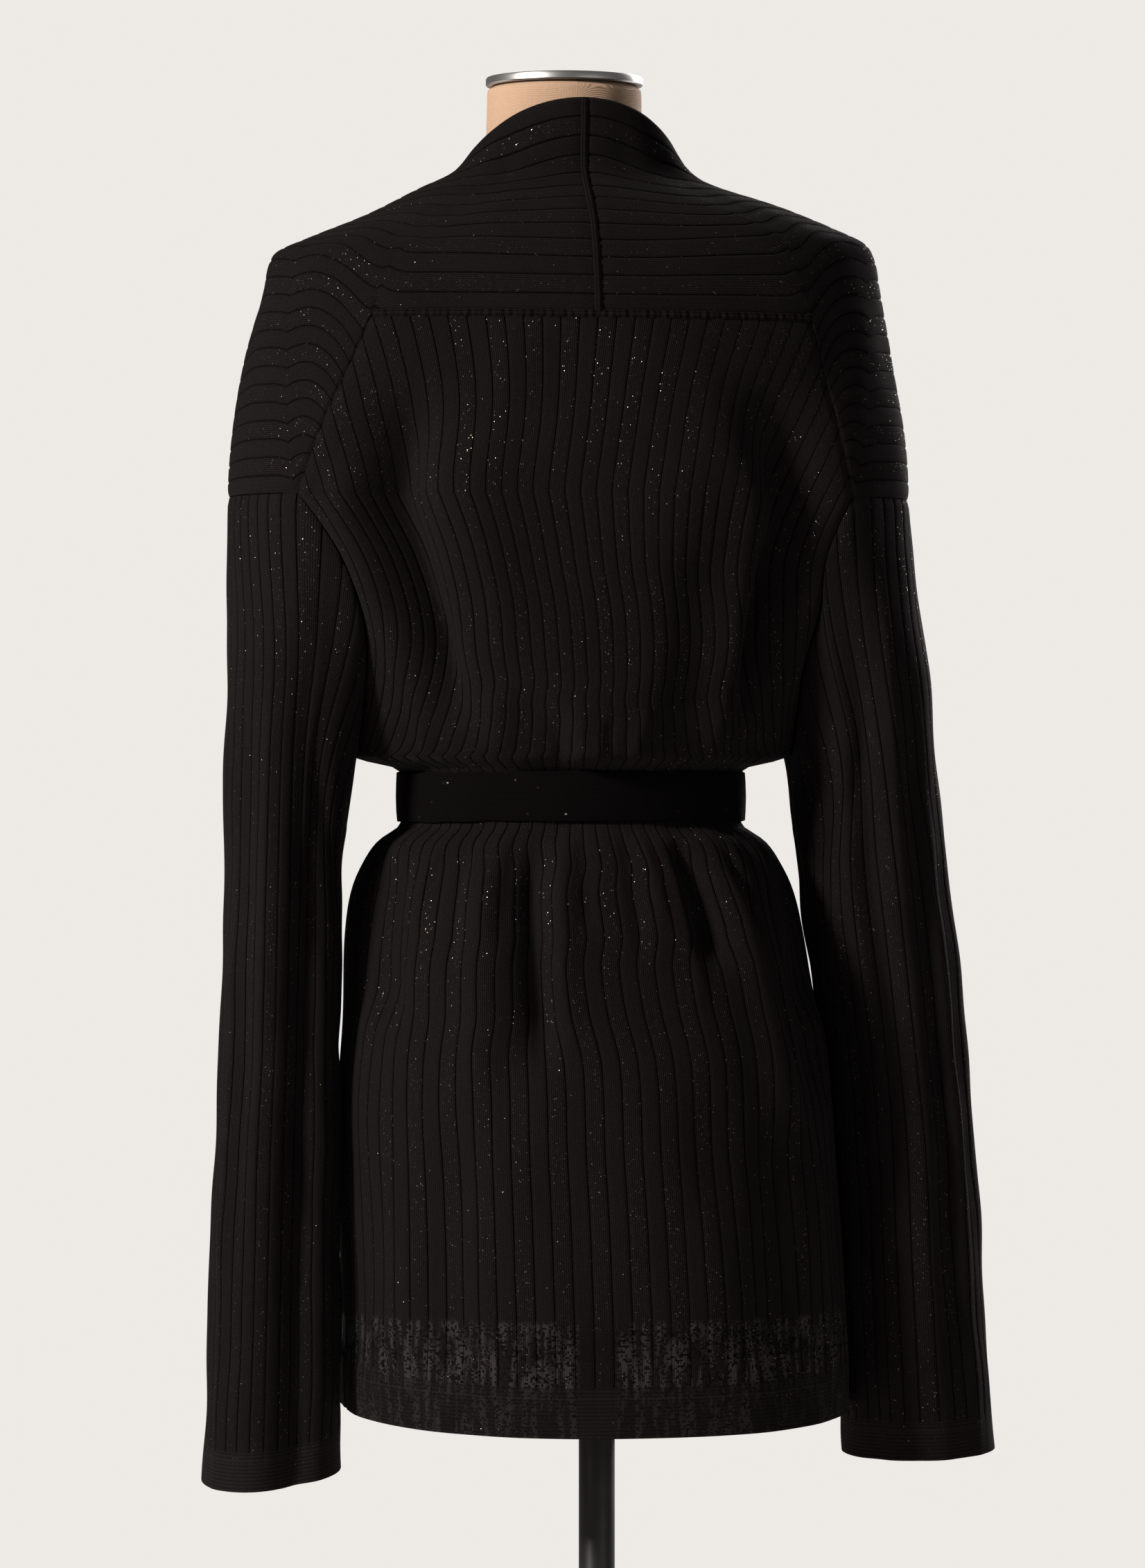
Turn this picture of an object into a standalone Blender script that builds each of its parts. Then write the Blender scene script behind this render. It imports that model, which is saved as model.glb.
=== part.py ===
"""Belted rib-knit cardigan on a dress form, in metres, +Z up, its front facing -Y.

The origin is at the middle of the base's underside, on the axis of the pole. The wearer's left is +X.
The cloth is a thin wall round a hollow: each panel is a loft through rows of points, its ribs are raised
in the outer points over a plain inside, and neighbouring panels share the points of their seam, a small
gap apart.
"""

import math

import bmesh
import bpy
import numpy as np

# ---------------------------------------------------------------- driving sizes (metres, degrees)
COLLECTION = "cardigan_on_dress_form"
WALL = 0.0020  # knit wall, under the ribs
RIB_RISE = 0.0008  # rib crown over the groove beside it
SEAM_GAP = 0.0004  # from panel to panel at a seam
LAP = 0.0040  # right front outside the left one
LAP_PART = 0.0030  # how far each front moves from the other where both bag over the belt
LAP_FADE_END, LAP_FADE = 0.070, 0.035  # distance past the middle where the lap has faded, and its width
BAG_TOP, BAG_FADE = 1.125, 0.045
LEFT_LIFT_Z, LEFT_LIFT_FADE = 1.040, 0.020  # where the left front starts to lift, and over what height
RIGHT_DROP_FADE = 0.0095  # height over the belt by which the right front has dropped
LAP_TOP_Z, LAP_TOP_FADE = 1.21, 0.06  # height at which the fronts part, and over what height the lap fades
LEAN = 0.018  # sideways lean of the bust toward the wearer's left
LEAN_LOW, LEAN_HIGH = 0.66, 1.06  # heights between which the lean grows
FRAME_STEPS = 320  # fine steps on a curve before it is spaced evenly

HEM_Z = 0.6277  # hem at the centre back
HEM_RISE = 0.009  # how much higher the hem is at the side seams
HEAD_Z = 1.25  # seam at the top of each sleeve
YOKE_Z = 1.369  # back yoke seam
YOKE_HALF = 0.1478  # half length of the yoke seam
COLLAR_BACK_Z = 1.5175  # top of the collar at the centre back
COLLAR_DROP = 0.052  # from there down to the top of the collar at the side
UNDERARM_Z = 1.076
RING_Z = 1.467  # foot of the collar, the highest torso section
COLLAR_ROUND = 0.012  # how softly the collar's foot bends
ROUND_REACH, ROUND_FADE = 0.085, 0.030  # how far from a row's start its bends are softened, and the fade
SHOULDER_TILT = 0.0050  # how much higher the right shoulder stands, and how much lower the left one
TILT_START, TILT_REACH = 0.050, 0.080  # distance from the middle where it starts, and over which it grows
TILT_LOW, TILT_HIGH = (1.372, 0.035), (1.440, 0.027)  # heights from which the tilt comes and goes, and fades
COLLAR_HALF, COLLAR_DEPTH, COLLAR_MID_Y = 0.0745, 0.067, -0.012  # the collar's top edge, seen from above
COLLAR_SHARE = 0.25  # share of a row that stands in the collar
COLLAR_SPREAD = 1.15  # how late a row turns outward below the collar

BELT_LOW, BELT_HIGH = 1.032, 1.0655
BELT_CLEAR = 0.0011  # from the cloth's ground to the belt's inside
BELT_THICK = 0.0022
BELT_EDGE = 0.7  # the belt's thickness at its edges, of that at its middle
BELT_SIDES = 48
BELT_LAP_TURN, BELT_LAP_FADE = 160.0, 8.0  # turn from which the belt lies on both fronts, and its rise
BELT_RIGHT_TURN, BELT_RIGHT_FADE = 145.0, 20.0  # the same where it lies on the right front's lap alone

BACK_RIBS_MID = 24  # ribs that start on the yoke seam
BACK_RIBS_SIDE = 2  # ribs more for each step down the diagonal seam
FRONT_RIBS_YOKE = 13
FRONT_RIBS_STEP = 3
DIAGONAL_STEPS = 4
YOKE_STEPS = 4
HEAD_STEPS = 5
RIB_SQUEEZE = 0.7  # how much of a rib's rise the belt presses flat
RIB_SQUEEZE_REACH, RIB_SQUEEZE_FADE = 0.024, 0.006  # from the belt's middle line
RIB_UNDERARM, RIB_UNDERARM_FADE = 0.012, 0.040  # distance from the underarm where ribs start, their fade
ARMHOLE_RIBS, HEAD_RIBS = 2, 3  # sleeve ribs for each step of the armhole and of the sleeve head

POLE_RADIUS = 0.0122
POLE_TOP = 0.6947
BASE_RADIUS = 0.19
BASE_THICK = 0.008
POLE_FOOT = 0.0083  # the pole stands a hair over the base
POLE_EDGE, BASE_EDGE, CAP_EDGE = 0.0005, 0.0020, 0.0012  # widths of the softened edges
DISC_SIDES = 28
HARD_SHARP, SOFT_SHARP = 35.0, 60.0  # angle from which an edge is shaded sharp, on metal and on cloth
CAP_RADIUS = 0.0535
CAP_Z = (1.5323, 1.5383)
NECK_Y = -0.025

# Torso and shoulder sections of the cloth: height, half width, depths to the back and front, squareness.
TORSO = (
    # z, half, back, front, square
    (0.600, 0.1640, 0.1510, -0.1430, 2.40),
    (0.700, 0.1620, 0.1460, -0.1390, 2.40),
    (0.800, 0.1600, 0.1400, -0.1350, 2.40),
    (0.900, 0.1580, 0.1330, -0.1290, 2.35),
    (0.960, 0.1540, 0.1240, -0.1230, 2.30),
    (1.000, 0.1430, 0.1120, -0.1140, 2.25),
    (1.018, 0.1310, 0.1030, -0.1060, 2.20),
    (1.031, 0.1155, 0.0925, -0.0955, 2.15),
    (1.0665, 0.1155, 0.0925, -0.0955, 2.15),
    (1.076, 0.1510, 0.1100, -0.1180, 1.60),
    (1.100, 0.1570, 0.1140, -0.1310, 1.85),
    (1.160, 0.1760, 0.1120, -0.1420, 2.25),
    (1.205, 0.2050, 0.1115, -0.1450, 2.20),
    (1.250, 0.2320, 0.1120, -0.1450, 2.20),
    (1.300, 0.2285, 0.1125, -0.1330, 2.20),
    (1.335, 0.2230, 0.1110, -0.1170, 2.20),
    (1.369, 0.2165, 0.1080, -0.1010, 2.20),
    (1.392, 0.2118, 0.1040, -0.0920, 2.20),
    (1.4105, 0.2078, 0.0985, -0.0850, 2.20),
    (1.419, 0.2020, 0.0950, -0.0820, 2.18),
    (1.429, 0.1800, 0.0900, -0.0780, 2.15),
    (1.448, 0.1322, 0.0740, -0.0700, 2.10),
    (1.467, 0.0860, 0.0510, -0.0620, 2.05),
)
# Back armhole seam: height, distance out from the torso's middle on the wearer's left and right.
ARMHOLE = (
    # z, left, right
    (1.250, 0.1955, 0.1780),
    (1.205, 0.1650, 0.1590),
    (1.160, 0.1500, 0.1530),
    (1.115, 0.1475, 0.1490),
    (1.076, 0.1510, 0.1510),
)
# Rows of the panels below the sleeve head.
ROW_HEIGHTS = (0.0, 0.71, 0.81, 0.90, 0.965, 1.010, 1.031, 1.0665, 1.076, 1.115, 1.160, 1.205, 1.250)
# Soft folds of the torso, along paths from one height to another; 0 is the centre back, 90 the left side.
TORSO_FOLDS = (
    # from_deg, to_deg, from_z, to_z, half_deg, rise
    (31, 38, 1.350, 1.085, 8.0, -0.0170),
    (-28, -46, 1.350, 1.085, 8.0, -0.0155),
    (-19, -24, 1.225, 1.075, 10.0, -0.0060),
    (24, 31, 1.125, 1.072, 5.0, 0.0060),
    (20, 20, 1.300, 1.120, 6.0, 0.0045),
    (-9, -13, 1.290, 1.100, 7.0, 0.0040),
    (17, 15, 1.028, 0.860, 5.0, -0.0100),
    (28, 31, 1.028, 0.840, 6.0, 0.0070),
    (-22, -25, 1.026, 0.930, 5.5, -0.0085),
    (-31, -48, 1.024, 0.800, 6.5, 0.0070),
    (70, 66, 1.020, 0.890, 9.0, -0.0105),
    (-66, -68, 1.015, 0.890, 9.0, -0.0070),
    (-49, -66, 1.014, 0.830, 8.0, -0.0055),
    (-4, -2, 0.900, 0.640, 9.0, 0.0040),
    (40, 44, 0.860, 0.640, 8.0, -0.0060),
    (-36, -34, 0.850, 0.640, 7.0, -0.0060),
    (150, 146, 1.230, 1.080, 7.0, -0.0100),
    (-148, -143, 1.230, 1.080, 7.0, -0.0110),
    (128, 132, 1.200, 1.080, 7.0, -0.0090),
    (-126, -130, 1.210, 1.080, 7.0, -0.0080),
    (150, 148, 1.024, 0.840, 6.5, -0.0080),
    (126, 122, 1.024, 0.700, 8.0, -0.0090),
    (-152, -150, 1.024, 0.860, 6.0, -0.0085),
    (-128, -120, 1.022, 0.720, 8.0, -0.0090),
    (104, 108, 0.930, 0.640, 8.0, -0.0060),
    (-104, -106, 0.920, 0.640, 8.0, -0.0060),
    (88, 88, 0.930, 0.560, 34.0, 0.0098),
    (-88, -88, 0.960, 0.560, 30.0, 0.0022),
)
GATHER_WAVES = ((17.0, 0.6, 0.0016), (11.0, 2.1, 0.0018))  # waves round the waist, phase, rise
GATHER_REACH = 0.035
GATHER_START = 0.008  # distance from the belt by which the waves are whole
GATHER_SIDE, GATHER_SIDE_FADE = 4.0, 18.0  # turn from the side seam without waves, and the fade beyond it
# Edge of a front: height and turn from the centre back.
OPENING = (
    # z, deg
    (0.600, 188.0),
    (1.031, 188.0),
    (1.076, 186.0),
    (1.115, 180.5),
    (1.160, 177.0),
    (1.205, 174.8),
    (1.250, 173.0),
    (1.300, 171.0),
    (1.360, 168.0),
    (1.400, 165.0),
    (1.420, 161.5),
    (1.440, 154.0),
    (1.456, 140.0),
)
# Inner ends of the front's upper rows: heights on the opening, then turns on the collar's top edge.
FAN_HEIGHTS = (1.385, 1.432, 1.456)
FAN_TURNS = (88.0, 72.0, 60.0, 50.5, 42.5, 34.0, 25.5, 17.0, 8.5, 0.0)
INNER_RISE = {1.115: 0.020, 1.160: 0.040, 1.205: 0.057, 1.250: 0.070}  # a row's inner end over its outer end
ROW_BEND = 2.0  # how much of a slanted row's fall comes near its outer end

# Hanging sleeves, by the middle and half sizes of their sections; side is +1 for the wearer's left.
SLEEVE_LEFT = (
    # z, middle_x, middle_y, half_x, half_y
    (1.250, 0.2040, -0.002, 0.0450, 0.078),
    (1.160, 0.2080, 0.004, 0.0430, 0.072),
    (1.076, 0.2143, 0.010, 0.0391, 0.066),
    (1.000, 0.2160, 0.012, 0.0385, 0.062),
    (0.903, 0.2174, 0.012, 0.0389, 0.058),
    (0.809, 0.2197, 0.012, 0.0418, 0.055),
    (0.696, 0.2218, 0.012, 0.0436, 0.054),
    (0.590, 0.2237, 0.012, 0.0455, 0.053),
)
SLEEVE_RIGHT = (
    # z, middle_x, middle_y, half_x, half_y
    (1.250, 0.1740, -0.002, 0.0480, 0.078),
    (1.160, 0.1770, 0.004, 0.0480, 0.072),
    (1.076, 0.1842, 0.010, 0.0445, 0.066),
    (1.000, 0.1892, 0.012, 0.0500, 0.060),
    (0.909, 0.2000, 0.012, 0.0494, 0.056),
    (0.840, 0.2074, 0.012, 0.0486, 0.054),
    (0.724, 0.2136, 0.012, 0.0496, 0.052),
    (0.590, 0.2215, 0.012, 0.0506, 0.050),
)
SLEEVE_SHARES = (0.0, 0.06, 0.14, 0.24, 0.36, 0.50, 0.64, 0.78, 0.90, 1.0)
SLEEVE_SQUARE = 2.15
SLEEVE_HOLD = 0.20  # share of the sleeve's length in which its sections leave the shape of the seam
CUFFS = {1: (0.5950, 0.0050, -0.0060), -1: (0.6040, -0.0020, -0.0030)}  # middle z, rises inward and backward
# Folds of the sleeves: 0 is the outer side, 90 the back, 180 the inner side; share of the length.
SLEEVE_FOLDS = {
    1: (
        # from_deg, to_deg, from_share, to_share, half_deg, rise
        (110, 106, 0.02, 1.30, 27.0, -0.0160),
        (40, 44, 0.10, 0.85, 13.0, -0.0040),
        (128, 122, 0.20, 1.20, 13.0, 0.0040),
        (262, 268, 0.05, 1.20, 16.0, -0.0100),
        (310, 300, 0.20, 0.90, 13.0, -0.0040),
        (215, 225, 0.25, 1.10, 13.0, 0.0030),
    ),
    -1: (
        (112, 98, 0.04, 0.75, 11.0, -0.0080),
        (66, 70, 0.12, 0.95, 11.0, -0.0065),
        (40, 36, 0.25, 0.85, 12.0, -0.0040),
        (92, 84, 0.55, 1.25, 11.0, 0.0045),
        (255, 262, 0.05, 1.20, 15.0, -0.0100),
        (300, 296, 0.20, 0.90, 12.0, -0.0045),
        (140, 136, 0.30, 1.20, 12.0, -0.0040),
    ),
}

# Sections of the dress form: height, half width, depths to back and front, middle y, squareness.
FORM = (
    # z, half, back, front, middle_y, square
    (0.6950, 0.1380, 0.1020, 0.1000, 0.000, 2.30),
    (0.7200, 0.1460, 0.1120, 0.1080, 0.000, 2.30),
    (0.7800, 0.1490, 0.1180, 0.1100, 0.000, 2.30),
    (0.8600, 0.1480, 0.1190, 0.1080, 0.000, 2.30),
    (0.9400, 0.1380, 0.1020, 0.1000, 0.000, 2.25),
    (1.0000, 0.1180, 0.0880, 0.0920, 0.000, 2.20),
    (1.0480, 0.1080, 0.0850, 0.0880, 0.000, 2.15),
    (1.1200, 0.1160, 0.0860, 0.0980, 0.000, 2.20),
    (1.2000, 0.1340, 0.0930, 0.1230, 0.000, 2.20),
    (1.2800, 0.1500, 0.0990, 0.1200, 0.000, 2.20),
    (1.3400, 0.1640, 0.1045, 0.0980, 0.000, 2.20),
    (1.3800, 0.1800, 0.1037, 0.0880, 0.000, 2.20),
    (1.4000, 0.1890, 0.0985, 0.0810, 0.000, 2.20),
    (1.4170, 0.1745, 0.0892, 0.0750, 0.000, 2.15),
    (1.4390, 0.1330, 0.0735, 0.0670, -0.001, 2.10),
    (1.4570, 0.0800, 0.0480, 0.0560, -0.010, 2.05),
    (1.4720, 0.0590, 0.0420, 0.0500, -0.021, 2.00),
    (1.4950, 0.0540, 0.0540, 0.0540, NECK_Y, 2.00),
    (1.5320, 0.0530, 0.0530, 0.0530, NECK_Y, 2.00),
)
FORM_SIDES = 28

KNOT_SIZE = (0.040, 0.018, 0.033)
KNOT_ROUND, KNOT_ROUND_STEPS = 0.0075, 3
KNOT_GAP = 0.0006  # from the belt to the knot
END_WIDTH, END_THICK = 0.034, 0.0026
END_GAP = 0.0004  # from the knot down to each end
END_STEPS = 8
END_CLEAR = 0.0082  # from the left front's ground out to an end
END_PULL = 0.0050  # how far under the belt's face the nearest ground of an end is taken to be
END_DROP = 1.6  # how soon an end reaches its tip's distance from the middle
# Belt ends: their middles' distance from the knot's middle at the top and at the tip, and the tip's height.
BELT_ENDS = (
    # name, top_x, tip_x, tip_z
    ("belt_end_left", 0.0180, 0.0270, 0.815),
    ("belt_end_right", -0.0180, -0.0330, 0.790),
)

# Finishes: name, colour, roughness, metallic.
FINISHES = {
    "knit": ((0.016, 0.014, 0.013), 0.85, 0.0),
    "belt_knit": ((0.020, 0.018, 0.017), 0.80, 0.0),
    "linen": ((0.62, 0.57, 0.49), 0.90, 0.0),
    "steel": ((0.58, 0.58, 0.57), 0.30, 1.0),
    "black_steel": ((0.012, 0.012, 0.013), 0.40, 0.6),
}


# ---------------------------------------------------------------- sums and curves
def column(table, index):
    """One named column of a short table, as an array."""
    return np.array([row[index] for row in table], dtype=float)


def smooth_table(at, stations, values):
    """Values between the stations of a table, by cubic Hermite pieces whose slopes never overshoot."""
    gaps = np.diff(stations)
    slopes = np.diff(values) / gaps
    weight = gaps[1:] / (gaps[:-1] + gaps[1:])
    inner = weight * slopes[:-1] + (1.0 - weight) * slopes[1:]
    limit = 2.0 * np.minimum(np.abs(slopes[:-1]), np.abs(slopes[1:]))
    turning = slopes[:-1] * slopes[1:] <= 0.0
    inner = np.where(turning, 0.0, np.clip(inner, -limit, limit))
    tangents = np.concatenate(([slopes[0]], inner, [slopes[-1]]))
    place = np.clip(at, stations[0], stations[-1])
    k = np.clip(np.searchsorted(stations, place, side="right") - 1, 0, len(gaps) - 1)
    h = gaps[k]
    t = (place - stations[k]) / h
    rise = values[k] * (1 + 2 * t) * (1 - t) ** 2 + values[k + 1] * t * t * (3 - 2 * t)
    bend = h * (tangents[k] * t * (1 - t) ** 2 - tangents[k + 1] * t * t * (1 - t))
    return rise + bend


def ease(t):
    """Smooth step from 0 to 1."""
    t = np.clip(t, 0.0, 1.0)
    return t * t * (3.0 - 2.0 * t)


def unit(vectors):
    """Vectors of length 1."""
    return vectors / np.maximum(np.linalg.norm(vectors, axis=-1, keepdims=True), 1e-12)


def lean(z):
    """How far the bust leans toward +X at a height."""
    return LEAN * ease((z - LEAN_LOW) / (LEAN_HIGH - LEAN_LOW))


def shoulder_tilt(x, z):
    """How much a point x out from the middle is moved up, so that the right shoulder stands higher."""
    risen = ease((z - TILT_LOW[0]) / TILT_LOW[1]) * ease((TILT_HIGH[0] + TILT_HIGH[1] - z) / TILT_HIGH[1])
    return -SHOULDER_TILT * np.sign(x) * ease((np.abs(x) - TILT_START) / TILT_REACH) * risen


def power(value, exponent):
    """A signed power, for rounded-square sections."""
    return np.sign(value) * np.abs(value) ** exponent


def fold_sum(folds, turn, height):
    """Rise of a table of soft folds at a turn in degrees and a height or share of length."""
    total = np.zeros(np.broadcast(turn, height).shape)
    for from_turn, to_turn, start, end, half, rise in folds:
        share = (height - start) / (end - start)
        middle = from_turn + (to_turn - from_turn) * np.clip(share, 0.0, 1.0)
        away = (turn - middle + 180.0) % 360.0 - 180.0
        window = ease(share / 0.28) * ease((1.0 - share) / 0.28)
        total = total + rise * np.exp(-((away / half) ** 2)) * window
    return total


# ---------------------------------------------------------------- the cloth's ground surface
TORSO_Z = column(TORSO, 0)


def torso_half(z):
    """Half width of the torso section at a height."""
    return smooth_table(z, TORSO_Z, column(TORSO, 1))


def torso_point(turn, z, folded=True):
    """A point of the torso and shoulder cloth at a turn in degrees from the centre back and a height."""
    turn, z = np.broadcast_arrays(np.asarray(turn, float), np.asarray(z, float))
    angle = np.radians(turn)
    half = torso_half(z)
    back = smooth_table(z, TORSO_Z, column(TORSO, 2))
    front = smooth_table(z, TORSO_Z, column(TORSO, 3))
    bend = 2.0 / smooth_table(z, TORSO_Z, column(TORSO, 4))
    depth = np.where(np.cos(angle) >= 0.0, back, -front)
    x = half * power(np.sin(angle), bend)
    y = depth * power(np.cos(angle), bend)
    if folded:
        from_waist = np.maximum(z - BELT_HIGH, BELT_LOW - z)
        near = np.exp(-np.clip(from_waist, 0.0, None) / GATHER_REACH) * ease(from_waist / GATHER_START)
        waves = sum(rise * np.sin(count * angle + phase) for count, phase, rise in GATHER_WAVES)
        from_side = np.abs(np.abs((turn + 180.0) % 360.0 - 180.0) - 90.0)
        rise = fold_sum(TORSO_FOLDS, turn, z)
        rise = rise + waves * near * ease((from_side - GATHER_SIDE) / GATHER_SIDE_FADE)
        outward = unit(np.stack((x / half, y / depth), axis=-1))
        x = x + rise * outward[..., 0]
        y = y + rise * outward[..., 1]
    return np.stack((x + lean(z), y, z + shoulder_tilt(x, z)), axis=-1)


def turn_at(x, z):
    """The turn in degrees at which the back of a section is x out from the torso's middle."""
    square = smooth_table(z, TORSO_Z, column(TORSO, 4))
    return np.degrees(np.arcsin(np.clip((x / torso_half(z)) ** (square / 2.0), -1.0, 1.0)))


def edge_turn(z, side):
    """Turn of the side seam, and above the underarm of the back armhole seam, on one side."""
    out = smooth_table(z, column(ARMHOLE, 0)[::-1], column(ARMHOLE, 1 if side > 0 else 2)[::-1])
    return np.where(z <= UNDERARM_Z + 1e-6, 90.0, turn_at(out, z))


def hem_height(turn):
    """Height of the hem, a little higher at the sides and front than at the centre back."""
    return HEM_Z + HEM_RISE * (1.0 - np.cos(np.radians(turn)))


def collar_point(turn):
    """Top edge of the standing collar, from the centre back to the side of the neck."""
    angle = np.radians(turn)
    z = COLLAR_BACK_Z - COLLAR_DROP * (1.0 - np.cos(angle))
    x = COLLAR_HALF * np.sin(angle)
    y = COLLAR_MID_Y + COLLAR_DEPTH * np.cos(angle)
    return np.stack((x + lean(z), y, z), axis=-1)


def opening_turn(z):
    """Turn of a front's edge at a height."""
    return smooth_table(z, column(OPENING, 0), column(OPENING, 1))


def resample(points, spaces):
    """A chain of points at equal steps of its length, and that length."""
    length = np.concatenate(([0.0], np.cumsum(np.linalg.norm(np.diff(points, axis=0), axis=1))))
    wanted = np.linspace(0.0, length[-1], spaces + 1)
    return np.stack([np.interp(wanted, length, points[:, k]) for k in range(3)], axis=-1), length[-1]


def evenly(curve, spaces, round_off=0.0):
    """Points of a curve (a function of 0..1) at equal steps of its length, its bends rounded off by a
    Gaussian of the given width; the ends stay."""
    fine, length = resample(curve(np.linspace(0.0, 1.0, FRAME_STEPS + 1)), FRAME_STEPS)
    if round_off > 0.0:
        reach = int(3.0 * round_off / (length / FRAME_STEPS))
        weights = np.exp(-((np.arange(-reach, reach + 1) * length / FRAME_STEPS / round_off) ** 2))
        before = 2.0 * fine[0] - fine[reach:0:-1]
        after = 2.0 * fine[-1] - fine[-2 : -reach - 2 : -1]
        padded = np.concatenate((before, fine, after))
        smooth = [np.convolve(padded[:, k], weights / weights.sum(), mode="valid") for k in range(3)]
        kept = ease((np.linspace(0.0, length, FRAME_STEPS + 1) - ROUND_REACH) / ROUND_FADE)[:, None]
        fine = np.stack(smooth, axis=-1) * (1.0 - kept) + fine * kept
    return resample(fine, spaces)[0]


# ---------------------------------------------------------------- seam points shared by neighbouring panels
def diagonal_points(side):
    """Seam from the sleeve head up to the end of the yoke seam, from bottom to top."""
    share = np.linspace(0.0, 1.0, DIAGONAL_STEPS + 1)
    z = HEAD_Z + (YOKE_Z - HEAD_Z) * share
    start = float(edge_turn(np.array(HEAD_Z), side))
    end = float(turn_at(np.array(YOKE_HALF), np.array(YOKE_Z)))
    turn = start + (end - start) * share
    return torso_point(side * turn, z), turn, z


def armhole_heights():
    """Heights of the armhole's seam points, from the underarm up."""
    return column(ARMHOLE, 0)[::-1]


def sleeve_top(side):
    """Top edge of a sleeve: up the back armhole from the underarm, over the outer arm, down the front."""
    heights = armhole_heights()
    turns = edge_turn(heights, side)
    back = torso_point(side * turns, heights)
    front_turns = np.where(heights <= UNDERARM_Z + 1e-6, 90.0, 180.0 - turns)
    front = torso_point(side * front_turns, heights)
    head_turns = np.linspace(turns[-1], 180.0 - turns[-1], HEAD_STEPS + 1)
    head = torso_point(side * head_turns, np.full(HEAD_STEPS + 1, HEAD_Z))
    return back, head, front[::-1], head_turns


def between(points, steps):
    """The points of a chain and evenly spaced ones between them, on its straight runs."""
    t = np.linspace(0.0, 1.0, steps, endpoint=False)[:, None]
    runs = [a + (b - a) * t for a, b in zip(points[:-1], points[1:])]
    return np.concatenate([*runs, points[-1:]])


# ---------------------------------------------------------------- panels as rows of points
class Panel:
    """Rows of points; row r holds columns first[r] to first[r] + len(points[r]) - 1, two to a rib."""

    def __init__(self, name, rows, first, outward, ring=False):
        self.name, self.first, self.ring = name, first, ring
        self.rows = [np.asarray(row, float) for row in rows]
        self.normals = self.surface_normals(outward)

    def surface_normals(self, outward):
        """Unit normals from the rows and columns, turned to point away from the inside."""
        result = []
        for r, row in enumerate(self.rows):
            if self.ring:
                along = np.roll(row, -1, axis=0) - np.roll(row, 1, axis=0)
            else:
                along = np.gradient(row, axis=0)
            across = self.beside(r, min(r + 1, len(self.rows) - 1)) - self.beside(r, max(r - 1, 0))
            normal = unit(np.cross(along, across))
            flip = np.sum(normal * outward(row), axis=1)
            result.append(normal * np.where(np.median(flip) < 0.0, -1.0, 1.0))
        return result

    def beside(self, r, other):
        """Points of another row in the columns of this row, the nearest one where it has none."""
        wanted = self.first[r] + np.arange(len(self.rows[r]))
        index = np.clip(wanted - self.first[other], 0, len(self.rows[other]) - 1)
        return self.rows[other][index]

    def border(self):
        """Row and place of each border point, round the panel, without the ends of a ring."""
        last = len(self.rows) - 1
        if self.ring:
            return [[(r, i) for i in range(len(self.rows[r]))] for r in (0, last)]
        foot = [(0, i) for i in range(len(self.rows[0]))]
        right = [(r, len(self.rows[r]) - 1) for r in range(1, last)]
        top = [(last, i) for i in reversed(range(len(self.rows[last])))]
        left = [(r, 0) for r in reversed(range(1, last))]
        return [foot + right + top + left]


def away_from(middle_x, middle_y):
    """A function that gives the level direction away from an upright axis."""
    return lambda points: points * (1, 1, 0) - np.array((middle_x, middle_y, 0.0))


def back_panel():
    """Back below the yoke seam: level rows, with more ribs for each step down the diagonal seams."""
    rows, first = [], []
    side_columns = 2 * BACK_RIBS_SIDE * DIAGONAL_STEPS
    columns = 2 * BACK_RIBS_MID + 2 * side_columns
    for height in ROW_HEIGHTS:
        left, right = (float(edge_turn(np.array(max(height, 0.7)), side)) for side in (1, -1))

        def level(share, height=height, left=left, right=right):
            turn = -right + (left + right) * share
            return torso_point(turn, hem_height(turn) if height == 0.0 else height)

        rows.append(evenly(level, columns))
        first.append(0)
    ends = [diagonal_points(side) for side in (-1, 1)]
    for step in range(1, DIAGONAL_STEPS + 1):
        (right_turns, heights), (left_turns, _) = [(end[1], end[2]) for end in ends]

        def level(share, step=step):
            turn = -right_turns[step] + (left_turns[step] + right_turns[step]) * share
            return torso_point(turn, heights[step])

        lost = 2 * BACK_RIBS_SIDE * step
        if step < DIAGONAL_STEPS:
            rows.append(evenly(level, columns - 2 * lost))
        else:
            rows.append(yoke_chain(columns - 2 * lost))
        first.append(lost)
    return Panel("back_panel", rows, first, away_from(LEAN, 0.0))


def yoke_ends():
    """Turns of the yoke seam's shared points, from its end to the centre back."""
    start = float(turn_at(np.array(YOKE_HALF), np.array(YOKE_Z)))
    return np.linspace(start, 0.0, YOKE_STEPS + 1)


def yoke_chain(columns):
    """The whole yoke seam from right to left, straight between its shared points."""
    turns = yoke_ends()
    whole = np.concatenate((-turns, turns[::-1][1:]))
    points = torso_point(whole, np.full(len(whole), YOKE_Z))
    return between(points, columns // (2 * YOKE_STEPS))


def shoulder_row(side, inner_z, outer, spaces):
    """A row from the front's opening over the shoulder to a point of the sleeve head (turn, height)."""
    outer_turn, outer_z = outer
    inner_turn = float(opening_turn(np.array(inner_z)))

    def curve(share):
        turn = inner_turn + (outer_turn - inner_turn) * share
        z = inner_z + (outer_z - inner_z) * share**ROW_BEND
        return torso_point(side * turn, z)

    return evenly(curve, spaces)


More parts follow.
